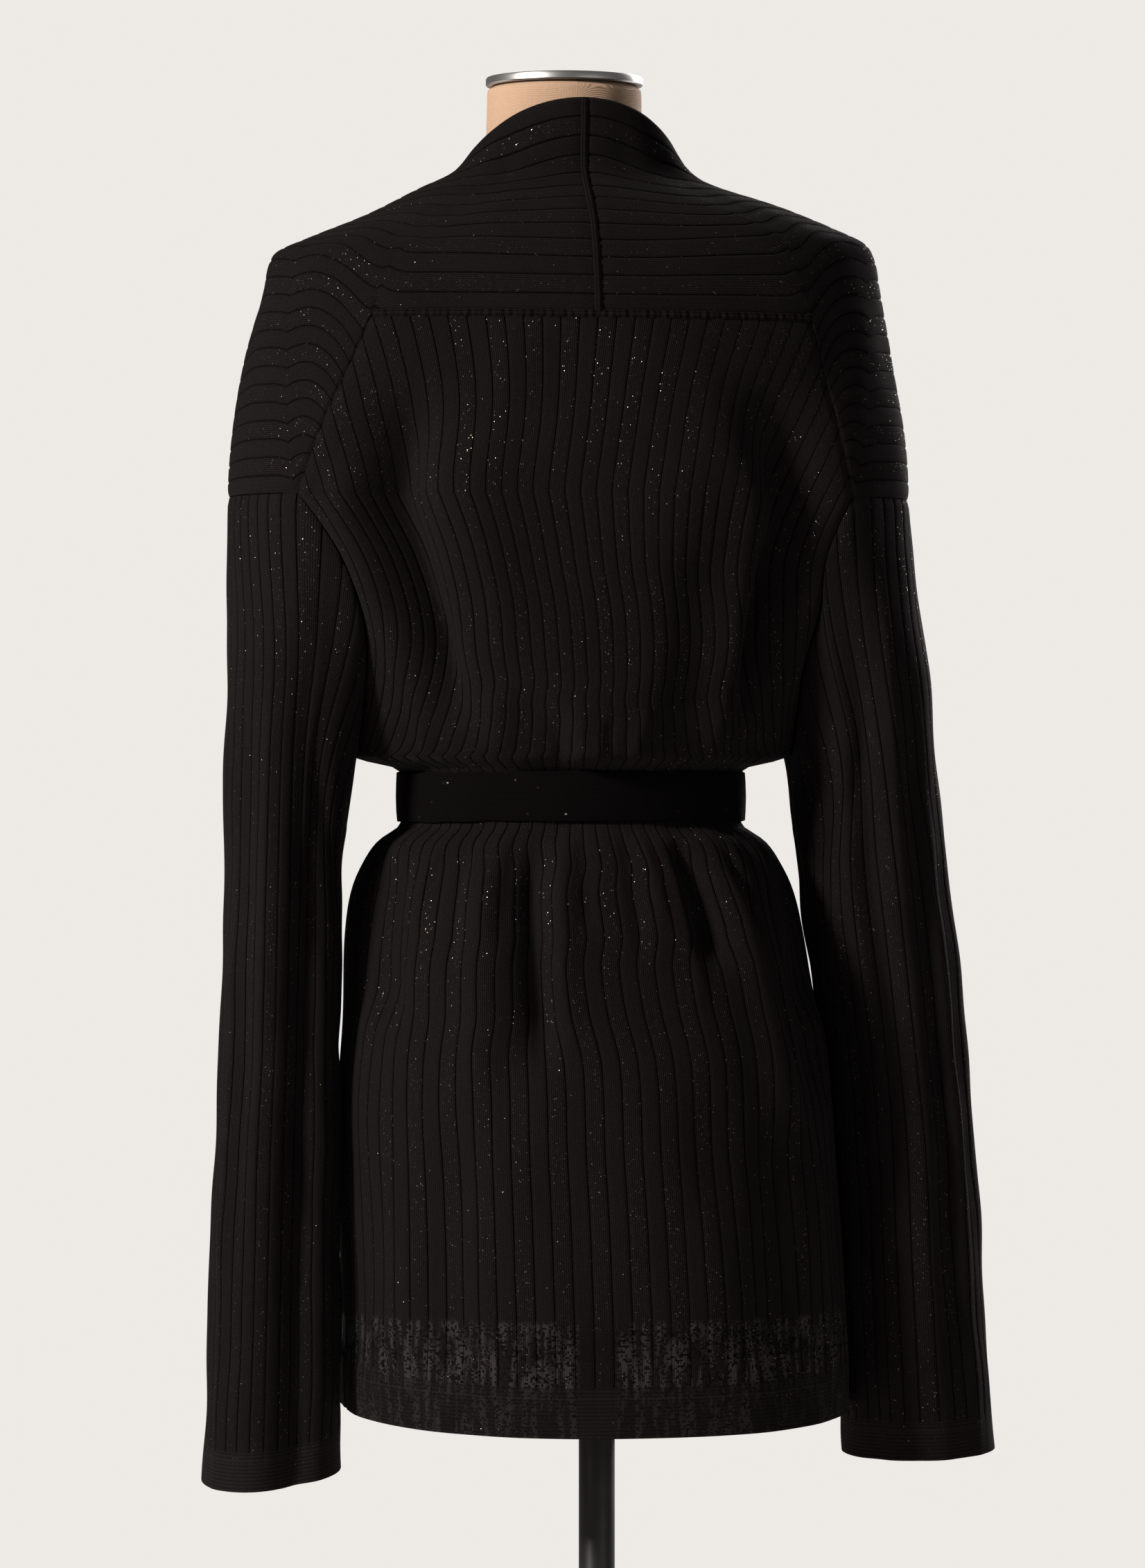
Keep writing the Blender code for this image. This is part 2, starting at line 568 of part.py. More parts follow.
def collar_row(side, inner_turn, outer, spaces):
    """A row from the collar's top edge down over the shoulder to an outer seam point (turn, height)."""
    outer_turn, outer_z = outer

    def curve(share):
        up = np.clip(share / COLLAR_SHARE, 0.0, 1.0)[:, None]
        down = np.clip((share - COLLAR_SHARE) / (1.0 - COLLAR_SHARE), 0.0, 1.0)
        turn = inner_turn + (outer_turn - inner_turn) * down**COLLAR_SPREAD
        z = RING_Z + (outer_z - RING_Z) * down
        edge = collar_point(np.full(share.shape, inner_turn)) * (side, 1, 1)
        edge[:, 0] += lean(edge[:, 2]) * (1 - side)
        ring = torso_point(np.full(share.shape, side * inner_turn), np.full(share.shape, RING_Z))
        standing = edge + (ring - edge) * up
        return np.where(share[:, None] < COLLAR_SHARE, standing, torso_point(side * turn, z))

    return evenly(curve, spaces, COLLAR_ROUND)


def front_panel(side, name):
    """A front with its shoulder, half of the yoke and half of the collar, in one piece."""
    rows, first = [], []
    ribs = FRONT_RIBS_YOKE + FRONT_RIBS_STEP * DIAGONAL_STEPS
    for height in ROW_HEIGHTS:
        level_z = max(height, 0.7)
        back_turn = float(edge_turn(np.array(level_z), side))
        edge = 90.0 if level_z <= UNDERARM_Z + 1e-6 else 180.0 - back_turn
        rise = INNER_RISE.get(height, 0.0)
        start = float(opening_turn(np.array(level_z + rise)))

        def level(share, height=height, start=start, edge=edge, rise=rise):
            turn = side * (start + (edge - start) * share)
            z = hem_height(turn) if height == 0.0 else height + rise * (1.0 - share**ROW_BEND)
            return torso_point(turn, z)

        rows.append(evenly(level, 2 * ribs))
        first.append(0)
    head_turns = sleeve_top(side)[3][::-1]
    _, diagonal_turns, diagonal_z = diagonal_points(side)
    outer = [(turn, HEAD_Z, 2 * ribs) for turn in head_turns[1:]]
    for step in range(1, DIAGONAL_STEPS + 1):
        outer.append((diagonal_turns[step], diagonal_z[step], 2 * (ribs - FRONT_RIBS_STEP * step)))
    outer += [(turn, YOKE_Z, 2 * FRONT_RIBS_YOKE) for turn in yoke_ends()[1:]]
    for inner_z, (turn, z, spaces) in zip(FAN_HEIGHTS, outer):
        rows.append(shoulder_row(side, inner_z, (turn, z), spaces))
    for inner_turn, (turn, z, spaces) in zip(FAN_TURNS, outer[len(FAN_HEIGHTS) :], strict=True):
        rows.append(collar_row(side, inner_turn, (turn, z), spaces))
    first += [0] * len(outer)
    rows = [lapped(row, side) for row in rows]
    return Panel(name, rows, first, away_from(LEAN, 0.0))


def lapped(row, side):
    """The fronts' points where they overlap: the right one moved out, and the two parted where they bag
    over the belt, the left one up and the right one down."""
    x, y, z = row.T
    near = ease((LAP_FADE_END - side * (x - lean(z))) / LAP_FADE) * np.where(y < 0.0, 1.0, 0.0)
    bag = ease((BAG_TOP - z) / BAG_FADE)
    if side > 0:
        lift = LAP_PART * near * bag * ease((z - LEFT_LIFT_Z) / LEFT_LIFT_FADE)
        return row + np.stack((0.0 * near, 0.0 * near, lift), axis=-1)
    drop = LAP_PART * near * bag * ease((z - BELT_HIGH) / RIGHT_DROP_FADE)
    return row - np.stack((0.0 * near, LAP * near * ease((LAP_TOP_Z - z) / LAP_TOP_FADE), drop), axis=-1)


def sleeve_panel(side, name):
    """A sleeve: a tube whose top edge is the armhole and sleeve-head seam, hanging down to the cuff."""
    table = SLEEVE_LEFT if side > 0 else SLEEVE_RIGHT
    back, head, front, _ = sleeve_top(side)
    chain = np.concatenate(
        (
            between(back, 2 * ARMHOLE_RIBS)[:-1],
            between(head, 2 * HEAD_RIBS)[:-1],
            between(front, 2 * ARMHOLE_RIBS)[:-1],
        )
    )
    stations = column(table, 0)[::-1]

    def section(angle, z):
        sizes = [smooth_table(z, stations, column(table, k)[::-1]) for k in (1, 2, 3, 4)]
        middle_x, middle_y, half_x, half_y = sizes
        bend = 2.0 / SLEEVE_SQUARE
        x = side * middle_x + side * half_x * power(np.cos(angle), bend)
        y = middle_y + half_y * power(np.sin(angle), bend)
        return np.stack((x, y, z), axis=-1)

    count = len(chain)
    middle = np.array((side * column(table, 1)[1], 0.0))
    top_angle = np.unwrap(np.arctan2(chain[:, 1] - middle[1], side * (chain[:, 0] - middle[0])))
    step = 2.0 * math.pi / count
    turning = -1.0
    even_angle = top_angle.mean() + turning * step * (np.arange(count) - (count - 1) / 2.0)
    cuff_middle, cuff_inward, cuff_back = CUFFS[side]
    rows = []
    for share in SLEEVE_SHARES:
        mix = ease(share / 0.45)
        angle = top_angle * (1 - mix) + even_angle * mix
        cuff_z = cuff_middle - cuff_inward * np.cos(angle) + cuff_back * np.sin(angle)
        z = chain[:, 2] + (cuff_z - chain[:, 2]) * share
        hold = 1.0 - ease(share / SLEEVE_HOLD)
        row = section(angle, z) + hold * (chain - section(top_angle, chain[:, 2]))
        rise = fold_sum(SLEEVE_FOLDS[side], np.degrees(angle) % 360.0, np.full(count, share))
        sizes = [smooth_table(z, stations, column(table, k)[::-1]) for k in (1, 2)]
        outward = unit(row[:, :2] - np.stack((side * sizes[0], sizes[1]), axis=-1))
        row[:, :2] += outward * rise[:, None]
        rows.append(row)
    return Panel(name, rows, [0] * len(rows), away_from(*middle), ring=True)


# ---------------------------------------------------------------- seams: shared normals, then a gap
def share_seam_normals(panels):
    """Gives coincident border points of neighbouring panels the mean of their normals, and points between
    two shared ones on the same straight seam the normals between those."""
    places, owners = [], []
    for panel in panels:
        for loop in panel.border():
            for r, i in loop:
                places.append(panel.rows[r][i])
                owners.append((panel, r, i))
    places = np.array(places)
    normals = np.array([panel.normals[r][i] for panel, r, i in owners])
    close = np.linalg.norm(places[:, None] - places[None], axis=2) < 1e-5
    mean = unit(close.astype(float) @ normals)
    mean[np.abs(places[:, 2] - UNDERARM_Z) < 1e-6] = (0.0, 0.0, -1.0)
    shared = {}
    for k, (panel, r, i) in enumerate(owners):
        others = {owners[m][0].name for m in np.flatnonzero(close[k])}
        shared[(panel.name, r, i)] = len(others) > 1
        panel.normals[r][i] = mean[k]
    for panel in panels:
        if panel.ring or panel.name == "back_panel":
            r = 0 if panel.ring else len(panel.rows) - 1
            count = len(panel.rows[r])
            fixed = [i for i in range(count) if shared[(panel.name, r, i)]]
            if panel.ring:
                fixed.append(count)
            for a, b in zip(fixed[:-1], fixed[1:]):
                for i in range(a + 1, b):
                    t = (i - a) / (b - a)
                    ends = panel.normals[r][a], panel.normals[r][b % count]
                    panel.normals[r][i] = ends[0] * (1 - t) + ends[1] * t


def open_seams(panel):
    """Moves the panel's border inward on its own surface by half of the seam gap."""
    moves = []
    last = len(panel.rows) - 1
    for loop in panel.border():
        points = np.array([panel.rows[r][i] for r, i in loop])
        tangents = unit(np.roll(points, -1, axis=0) - np.roll(points, 1, axis=0))
        for (r, i), tangent in zip(loop, tangents):
            inner_r = min(max(r, 1), last - 1)
            wanted = panel.first[r] + i
            count = len(panel.rows[inner_r])
            if panel.ring:
                inner_i = i
            else:
                inner_i = int(np.clip(wanted - panel.first[inner_r], 1, count - 2))
            inward = np.cross(panel.normals[r][i], tangent)
            toward = panel.rows[inner_r][inner_i] - panel.rows[r][i]
            inward = inward * (1.0 if float(inward @ toward) > 0.0 else -1.0)
            moves.append((r, i, inward * SEAM_GAP / 2.0))
    for r, i, move in moves:
        panel.rows[r][i] = panel.rows[r][i] + move


# ---------------------------------------------------------------- walls and meshes
def strip(lower, upper, first_low, first_high, step):
    """Faces between two rows of vertex numbers whose columns may start and end apart."""
    low_end = first_low + step * (len(lower) - 1)
    high_end = first_high + step * (len(upper) - 1)
    start, end = max(first_low, first_high), min(low_end, high_end)

    def low(col):
        return lower[(col - first_low) // step]

    def high(col):
        return upper[(col - first_high) // step]

    faces = [(low(c), low(c + step), high(c + step), high(c)) for c in range(start, end, step)]
    for c in range(first_low, start, step):
        faces.append((low(c), low(c + step), upper[0]))
    for c in range(first_high, start, step):
        faces.append((high(c + step), high(c), lower[0]))
    for c in range(end, low_end, step):
        faces.append((low(c), low(c + step), upper[-1]))
    for c in range(end, high_end, step):
        faces.append((high(c + step), high(c), lower[-1]))
    return faces


def rib_rise(panel, r):
    """Rise of the ribs in a row: odd columns are crowns and even ones grooves, lower under the belt."""
    z = panel.rows[r][:, 2]
    odd = (panel.first[r] + np.arange(len(z))) % 2
    from_belt = np.abs(z - 0.5 * (BELT_LOW + BELT_HIGH))
    squeezed = 1.0 - RIB_SQUEEZE * ease((RIB_SQUEEZE_REACH - from_belt) / RIB_SQUEEZE_FADE)
    x, y = panel.rows[r][:, 0], panel.rows[r][:, 1]
    away = np.sqrt((np.abs(x - LEAN) - torso_half(UNDERARM_Z)) ** 2 + y**2 + (z - UNDERARM_Z) ** 2)
    whole = 1.0 if panel.ring else squeezed
    return RIB_RISE * odd * whole * ease((away - RIB_UNDERARM) / RIB_UNDERARM_FADE)


def wall_mesh(panel):
    """A closed wall: ribbed outer points, plain inner ones at every second column, and rims between them."""
    vertices, outer, inner = [], [], []
    for r, row in enumerate(panel.rows):
        raised = row + panel.normals[r] * rib_rise(panel, r)[:, None]
        outer.append(list(range(len(vertices), len(vertices) + len(row))))
        vertices.extend(raised)
        picked = np.arange(0, len(row), 2)
        inner.append(list(range(len(vertices), len(vertices) + len(picked))))
        vertices.extend((row - panel.normals[r] * WALL)[picked])
    if panel.ring:
        outer = [ids + ids[:1] for ids in outer]
        inner = [ids + ids[:1] for ids in inner]
    faces = []
    for r in range(len(panel.rows) - 1):
        faces += strip(outer[r], outer[r + 1], panel.first[r], panel.first[r + 1], 1)
        inside = strip(inner[r], inner[r + 1], panel.first[r], panel.first[r + 1], 2)
        faces += [face[::-1] for face in inside]
    for r in (0, len(panel.rows) - 1):
        for k in range(len(inner[r]) - 1):
            a, b, c = outer[r][2 * k : 2 * k + 3]
            faces += [(inner[r][k], a, b), (inner[r][k], b, inner[r][k + 1]), (inner[r][k + 1], b, c)]
    if not panel.ring:
        for r in range(len(panel.rows) - 1):
            for end in (0, -1):
                here = outer[r][end], outer[r + 1][end]
                below = inner[r][end], inner[r + 1][end]
                faces += [(here[0], here[1], below[1]), (here[0], below[1], below[0])]
    return vertices, faces


def finish(name):
    """A plain material with the named finish."""
    colour, roughness, metallic = FINISHES[name]
    material = bpy.data.materials.get(name) or bpy.data.materials.new(name)
    material.use_nodes = True
    shader = material.node_tree.nodes["Principled BSDF"]
    shader.inputs["Base Color"].default_value = (*colour, 1.0)
    shader.inputs["Roughness"].default_value = roughness
    shader.inputs["Metallic"].default_value = metallic
    material.diffuse_color = (*colour, 1.0)
    return material


def add_piece(collection, name, vertices, faces, finish_name, sharp=SOFT_SHARP):
    """One closed piece in the collection, its faces turned outward and shaded smooth."""
    mesh = bpy.data.meshes.new(name)
    mesh.from_pydata([tuple(map(float, v)) for v in vertices], [], faces)
    work = bmesh.new()
    work.from_mesh(mesh)
    bmesh.ops.recalc_face_normals(work, faces=work.faces)
    bmesh.ops.triangulate(work, faces=[f for f in work.faces if len(f.verts) > 4])
    work.to_mesh(mesh)
    work.free()
    mesh.shade_smooth()
    mesh.set_sharp_from_angle(angle=math.radians(sharp))
    mesh.materials.append(finish(finish_name))
    piece = bpy.data.objects.new(name, mesh)
    collection.objects.link(piece)
    return piece


def add_disc(collection, name, radius, low, high, middle, finish_name, bevel):
    """A round upright piece with softened edges, made from a cylinder."""
    bpy.ops.mesh.primitive_cylinder_add(
        vertices=DISC_SIDES, radius=radius, depth=high - low, location=(*middle, 0.5 * (low + high))
    )
    piece = bpy.context.object
    piece.name = name
    piece.data.name = name
    soften = piece.modifiers.new("edge", "BEVEL")
    soften.width = bevel
    soften.segments = 1
    soften.limit_method = "ANGLE"
    piece.data.shade_smooth()
    piece.data.set_sharp_from_angle(angle=math.radians(HARD_SHARP))
    piece.data.materials.append(finish(finish_name))
    for other in list(piece.users_collection):
        other.objects.unlink(piece)
    collection.objects.link(piece)
    return piece


# ---------------------------------------------------------------- belt, form and stand
def belt_ground(turn, z, out):
    """A point on the waist cloth moved out, over the right front's lap where it lies."""
    plain = torso_point(turn, z, folded=False)
    further = torso_point(turn + 0.5, z, folded=False) - torso_point(turn - 0.5, z, folded=False)
    normal = unit(np.cross(further, (0.0, 0.0, 1.0)))
    normal = normal * np.where(np.sum(normal * (plain - (LEAN, 0, 0)), axis=-1, keepdims=True) < 0, -1, 1)
    wrapped = (np.asarray(turn, float) + 180.0) % 360.0 - 180.0
    lap = LAP * ease((np.abs(wrapped) - BELT_LAP_TURN) / BELT_LAP_FADE)
    right = LAP * ease((-wrapped - BELT_RIGHT_TURN) / BELT_RIGHT_FADE)
    return plain + normal * (out + np.maximum(lap, right))[..., None]


def ring_mesh(sections):
    """A closed tube wall from loops of points: each loop is one edge of its cross-section, in order."""
    count, sides = len(sections), len(sections[0])
    vertices = [point for loop in sections for point in loop]
    faces = []
    for k in range(count):
        a, b = k * sides, ((k + 1) % count) * sides
        faces += [(a + i, a + (i + 1) % sides, b + (i + 1) % sides, b + i) for i in range(sides)]
    return vertices, faces


def add_belt(collection):
    """The belt round the waist, its knot at the centre front and its two hanging ends."""
    turn = np.linspace(-180.0, 180.0, BELT_SIDES, endpoint=False)
    middle_z = 0.5 * (BELT_LOW + BELT_HIGH)
    loops = []
    for z, out in (
        (BELT_LOW, BELT_CLEAR),
        (BELT_HIGH, BELT_CLEAR),
        (BELT_HIGH, BELT_CLEAR + BELT_EDGE * BELT_THICK),
        (middle_z, BELT_CLEAR + BELT_THICK),
        (BELT_LOW, BELT_CLEAR + BELT_EDGE * BELT_THICK),
    ):
        loop = belt_ground(turn, np.full(BELT_SIDES, middle_z), np.full(BELT_SIDES, out))
        loop[:, 2] = z
        loops.append(loop)
    add_piece(collection, "belt", *ring_mesh(loops), "belt_knit")
    face = belt_ground(np.array([180.0]), np.array([middle_z]), np.array([BELT_CLEAR + BELT_THICK]))[0]
    knot_y = face[1] - KNOT_GAP - KNOT_SIZE[1] / 2
    bpy.ops.mesh.primitive_cube_add(size=1.0, location=(face[0], knot_y, middle_z))
    knot = bpy.context.object
    knot.name = knot.data.name = "belt_knot"
    knot.scale = KNOT_SIZE
    bpy.ops.object.transform_apply(location=False, rotation=False, scale=True)
    soften = knot.modifiers.new("round", "BEVEL")
    soften.width = KNOT_ROUND
    soften.segments = KNOT_ROUND_STEPS
    knot.data.materials.append(finish("belt_knit"))
    for other in list(knot.users_collection):
        other.objects.unlink(knot)
    collection.objects.link(knot)
    knot_low = middle_z - KNOT_SIZE[2] / 2
    for name, top_x, tip_x, tip_z in BELT_ENDS:
        share = np.linspace(0.0, 1.0, END_STEPS + 1)
        z = knot_low - END_GAP + (tip_z - knot_low) * share
        middle_x = face[0] + top_x + (tip_x - top_x) * ease(share * END_DROP)
        turn_here = 180.0 - np.degrees(np.arcsin((middle_x - lean(z)) / torso_half(z)))
        ground = torso_point(turn_here, z)
        front = np.minimum(ground[:, 1], face[1] - END_PULL) - END_CLEAR
        half = END_WIDTH / 2
        loops = []
        for out, across in ((0.0, -half), (0.0, half), (-END_THICK, half), (-END_THICK, -half)):
            loops.append(np.stack((middle_x + across, front + out, z), axis=-1))
        vertices = [point for loop in loops for point in loop]
        n = END_STEPS + 1
        faces = []
        for k in range(4):
            a, b = k * n, ((k + 1) % 4) * n
            faces += [(a + i, a + i + 1, b + i + 1, b + i) for i in range(END_STEPS)]
        faces += [(0, n, 2 * n, 3 * n), (n - 1, 2 * n - 1, 3 * n - 1, 4 * n - 1)]
        add_piece(collection, name, vertices, faces, "belt_knit")


def add_form(collection):
    """The limbless dress form, from its flat underside to the top of its neck."""
    z = column(FORM, 0)
    angle = np.linspace(0.0, 2.0 * math.pi, FORM_SIDES, endpoint=False)[None, :]
    half, back, front, middle, square = (column(FORM, k)[:, None] for k in range(1, 6))
    bend = 2.0 / square
    depth = np.where(np.cos(angle) >= 0.0, back, front)
    x = half * power(np.sin(angle), bend)
    y = middle + depth * power(np.cos(angle), bend)
    height = z[:, None] + shoulder_tilt(x, z[:, None])
    points = np.stack((x + lean(z)[:, None], y, height), axis=-1)
    rows, sides = x.shape
    vertices = points.reshape(-1, 3)
    faces = []
    for r in range(rows - 1):
        a, b = r * sides, (r + 1) * sides
        faces += [(a + i, a + (i + 1) % sides, b + (i + 1) % sides, b + i) for i in range(sides)]
    faces += [tuple(range(sides)), tuple(range((rows - 1) * sides, rows * sides))]
    add_piece(collection, "form_torso", vertices, faces, "linen")


def add_stand(collection):
    """Neck cap, pole and round base."""
    neck = (LEAN, NECK_Y)
    add_disc(collection, "neck_cap", CAP_RADIUS, *CAP_Z, neck, "steel", CAP_EDGE)
    axis = (0.0, 0.0)
    add_disc(collection, "pole", POLE_RADIUS, POLE_FOOT, POLE_TOP, axis, "black_steel", POLE_EDGE)
    add_disc(collection, "base", BASE_RADIUS, 0.0, BASE_THICK, axis, "black_steel", BASE_EDGE)


def main():
    """Clears the scene and builds every piece."""
    for old in list(bpy.data.objects):
        bpy.data.objects.remove(old, do_unlink=True)
    collection = bpy.data.collections.new(COLLECTION)
    bpy.context.scene.collection.children.link(collection)
    panels = [
        back_panel(),
        front_panel(1, "front_left"),
        front_panel(-1, "front_right"),
        sleeve_panel(1, "sleeve_left"),
        sleeve_panel(-1, "sleeve_right"),
    ]
    share_seam_normals(panels)
    for panel in panels:
        open_seams(panel)
        add_piece(collection, panel.name, *wall_mesh(panel), "knit")
    add_belt(collection)
    add_form(collection)
    add_stand(collection)


main()
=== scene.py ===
"""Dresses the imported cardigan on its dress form, in metres, +Z up, the garment's front facing -Y.

Each knit panel is a fine sheet of two layers on the same surfaces as its solid, with ribs, seams, turned
hems and small creases. A turn is in degrees from the centre back, and +90 is the wearer's left side.
"""

import logging
import math
from dataclasses import dataclass
from enum import Enum

import bpy
import numpy as np
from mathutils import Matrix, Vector


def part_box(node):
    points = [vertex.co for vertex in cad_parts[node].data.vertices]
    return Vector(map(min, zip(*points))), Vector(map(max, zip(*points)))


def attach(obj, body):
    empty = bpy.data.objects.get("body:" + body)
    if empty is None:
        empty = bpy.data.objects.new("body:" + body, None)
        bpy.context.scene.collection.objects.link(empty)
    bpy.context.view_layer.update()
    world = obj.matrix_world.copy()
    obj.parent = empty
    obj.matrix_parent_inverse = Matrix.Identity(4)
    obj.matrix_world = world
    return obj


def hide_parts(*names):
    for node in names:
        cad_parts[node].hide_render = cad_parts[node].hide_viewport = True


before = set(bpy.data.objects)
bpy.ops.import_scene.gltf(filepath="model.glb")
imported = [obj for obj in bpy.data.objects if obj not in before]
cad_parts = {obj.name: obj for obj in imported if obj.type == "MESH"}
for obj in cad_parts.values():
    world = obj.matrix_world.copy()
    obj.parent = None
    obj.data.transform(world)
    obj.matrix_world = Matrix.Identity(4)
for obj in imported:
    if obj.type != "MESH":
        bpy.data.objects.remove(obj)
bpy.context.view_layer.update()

log = logging.getLogger("cardigan")
Array = np.ndarray
Table = tuple[tuple[float, ...], ...]
Colour = tuple[float, ...] | bpy.types.NodeSocket

WALL = 0.0020  # knit wall, under the ribs
RIB_RISE = 0.0007  # crown of a rib over its grooves
SEAM_DIP = 0.0011  # how far the cloth sinks at a seam
SEAM_REACH = 0.0036
EDGE_DIP = 0.0010  # how far the cloth thins at a free front edge
EDGE_REACH = 0.0016
LAP = 0.0040  # right front outside the left one
LAP_PART = 0.0030
HEM_Z = 0.6277
HEM_RISE = 0.009
HEAD_Z = 1.25
YOKE_Z = 1.369
YOKE_HALF = 0.1478
UNDERARM_Z = 1.076
RING_Z = 1.467
COLLAR_BACK_Z = 1.5175
COLLAR_DROP = 0.052
COLLAR_HALF, COLLAR_DEPTH, COLLAR_MID_Y = 0.0745, 0.067, -0.012
COLLAR_SHARE, COLLAR_SPREAD, COLLAR_ROUND = 0.25, 1.15, 0.012
ROUND_REACH, ROUND_FADE = 0.085, 0.030  # how far from a row's start its bends are softened, and the fade
SHOULDER_TILT = 0.0050  # how much higher the right shoulder stands, and how much lower the left one
TILT_START, TILT_REACH = 0.050, 0.080
TILT_LOW, TILT_HIGH = (1.372, 0.035), (1.440, 0.027)
BELT_LOW, BELT_HIGH = 1.032, 1.0655
BELT_CLEAR, BELT_THICK = 0.0011, 0.0022
LEAN, LEAN_LOW, LEAN_HIGH = 0.018, 0.66, 1.06
NECK_Y = -0.025
FINE = 400  # fine steps on a row before it is spaced evenly
STEPS_PER_RIB = 8
WAIST_FOOT, WAIST_TOP = 1.000, 1.100  # between them the rows are closer, for the belt
SKIRT_ROWS, WAIST_ROWS, BLOUSE_ROWS = 68, 30, 29
DIAGONAL_ROWS = 25  # of the back, from the sleeve head to the yoke seam
UPPER_ROWS = 105  # of a front, from the sleeve head to the centre back seam
HEM_STEP = 0.002  # over which the ribs fade into the turned hem
HEM_RAISE = 0.0005  # how much thicker the turned hem is


class Side(Enum):
    """Which side of the wearer a piece is on; the value is the sign of its x."""

    LEFT = 1
    RIGHT = -1


# ------------------------------------------------------------------------------ sums on arrays
def ease(t: Array | float) -> Array:
    """Smooth step from 0 to 1: 3t^2 - 2t^3 of t held between 0 and 1."""
    t = np.clip(t, 0.0, 1.0)
    return t * t * (3.0 - 2.0 * t)


def unit(vectors: Array) -> Array:
    """Vectors divided by their lengths."""
    return vectors / np.maximum(np.linalg.norm(vectors, axis=-1, keepdims=True), 1e-12)


def shoulder_tilt(x: Array, z: Array) -> Array:
    """How much a point x out from the middle is moved up, so that the right shoulder stands higher."""
    risen = ease((z - TILT_LOW[0]) / TILT_LOW[1]) * ease((TILT_HIGH[0] + TILT_HIGH[1] - z) / TILT_HIGH[1])
    return -SHOULDER_TILT * np.sign(x) * ease((np.abs(x) - TILT_START) / TILT_REACH) * risen


def power(value: Array, exponent: Array | float) -> Array:
    """A power that keeps the sign, for rounded-square sections."""
    return np.sign(value) * np.abs(value) ** exponent


def column(table: Table, index: int) -> Array:
    """One column of a short table."""
    return np.array([row[index] for row in table], dtype=float)


def smooth_table(at: Array | float, stations: Array, values: Array) -> Array:
    """Values between stations, by cubic Hermite pieces whose slopes never overshoot.

    Args:
        at: where the values are wanted.
        stations: rising places of the table.
        values: the table's values there.

    Returns:
        h00 a + h01 b + h (h10 m_a + h11 m_b) in each gap of width h, with slopes m held to the gaps' own.
    """
    gaps = np.diff(stations)
    slopes = np.diff(values) / gaps
    weight = gaps[1:] / (gaps[:-1] + gaps[1:])
    inner = weight * slopes[:-1] + (1.0 - weight) * slopes[1:]
    limit = 2.0 * np.minimum(np.abs(slopes[:-1]), np.abs(slopes[1:]))
    inner = np.where(slopes[:-1] * slopes[1:] <= 0.0, 0.0, np.clip(inner, -limit, limit))
    tangents = np.concatenate(([slopes[0]], inner, [slopes[-1]]))
    place = np.clip(at, stations[0], stations[-1])
    k = np.clip(np.searchsorted(stations, place, side="right") - 1, 0, len(gaps) - 1)
    h = gaps[k]
    t = (place - stations[k]) / h
    rise = values[k] * (1 + 2 * t) * (1 - t) ** 2 + values[k + 1] * t * t * (3 - 2 * t)
    return rise + h * (tangents[k] * t * (1 - t) ** 2 - tangents[k + 1] * t * t * (1 - t))


def fold_sum(folds: Table, turn: Array, height: Array) -> Array:
    """Rise of soft folds: each is rise * exp(-(degrees from its path / half width)^2), eased in and out.

    Args:
        folds: rows of from_turn, to_turn, from_height, to_height, half width in degrees, rise in metres.
        turn: degrees round the piece.
        height: height, or share of a sleeve's length.

    Returns:
        The sum of the rises, outward.
    """
    total = np.zeros(np.broadcast(turn, height).shape)
    for from_turn, to_turn, start, end, half, rise in folds:
        share = (height - start) / (end - start)
        middle = from_turn + (to_turn - from_turn) * np.clip(share, 0.0, 1.0)
        away = (turn - middle + 180.0) % 360.0 - 180.0
        total += rise * np.exp(-((away / half) ** 2)) * ease(share / 0.28) * ease((1.0 - share) / 0.28)
    return total


def ripple(waves: Table, a: Array, b: Array) -> Array:
    """A sum of slanted sines, rise * sin(p a + q b + phase), for small unevenness."""
    return sum(rise * np.sin(p * a + q * b + phase) for p, q, phase, rise in waves)


def lengths(points: Array, axis: int) -> Array:
    """Distance along a grid's rows (axis 1) or columns (axis 0), from its first point."""
    steps = np.linalg.norm(np.diff(points, axis=axis), axis=2)
    zero = np.zeros_like(np.take(steps, [0], axis=axis))
    return np.cumsum(np.concatenate((zero, steps), axis=axis), axis=axis)


def spread(rows: Array, columns: int, round_off: Array | float = 0.0) -> Array:
    """Rows of points set at equal steps of their length, their bends rounded off by a Gaussian.

    Args:
        rows: (rows, fine points, 3).
        columns: steps of a finished row.
        round_off: width of the Gaussian in metres, for all rows or for each.

    Returns:
        (rows, columns + 1, 3); the ends of each row stay in place.
    """

    def even(points: Array, steps: int) -> Array:
        run = lengths(points, 1)
        share = np.linspace(0.0, 1.0, steps + 1)
        parts = [[np.interp(share * d[-1], d, p[:, k]) for k in range(3)] for p, d in zip(points, run)]
        return np.moveaxis(np.array(parts), 1, 2)

    width = np.broadcast_to(round_off, rows.shape[:1])
    if width.max() > 0.0:
        rows = even(rows, FINE)
        step = lengths(rows, 1)[:, -1] / FINE
        reach = int(3.0 * (width / step).max()) + 1
        before = 2.0 * rows[:, :1] - rows[:, reach:0:-1]
        after = 2.0 * rows[:, -1:] - rows[:, -2 : -reach - 2 : -1]
        padded = np.concatenate((before, rows, after), axis=1)
        taps = np.arange(-reach, reach + 1)
        narrow = np.maximum(width / step, 1e-3)
        weights = np.exp(-((taps[None] / narrow[:, None]) ** 2))
        weights /= weights.sum(axis=1, keepdims=True)
        total = np.zeros_like(rows)
        for k in range(len(taps)):
            total += weights[:, k, None, None] * padded[:, k : k + rows.shape[1]]
        kept = ease((lengths(rows, 1) - ROUND_REACH) / ROUND_FADE)[..., None]
        rows = total * (1.0 - kept) + rows * kept
    return even(rows, columns)


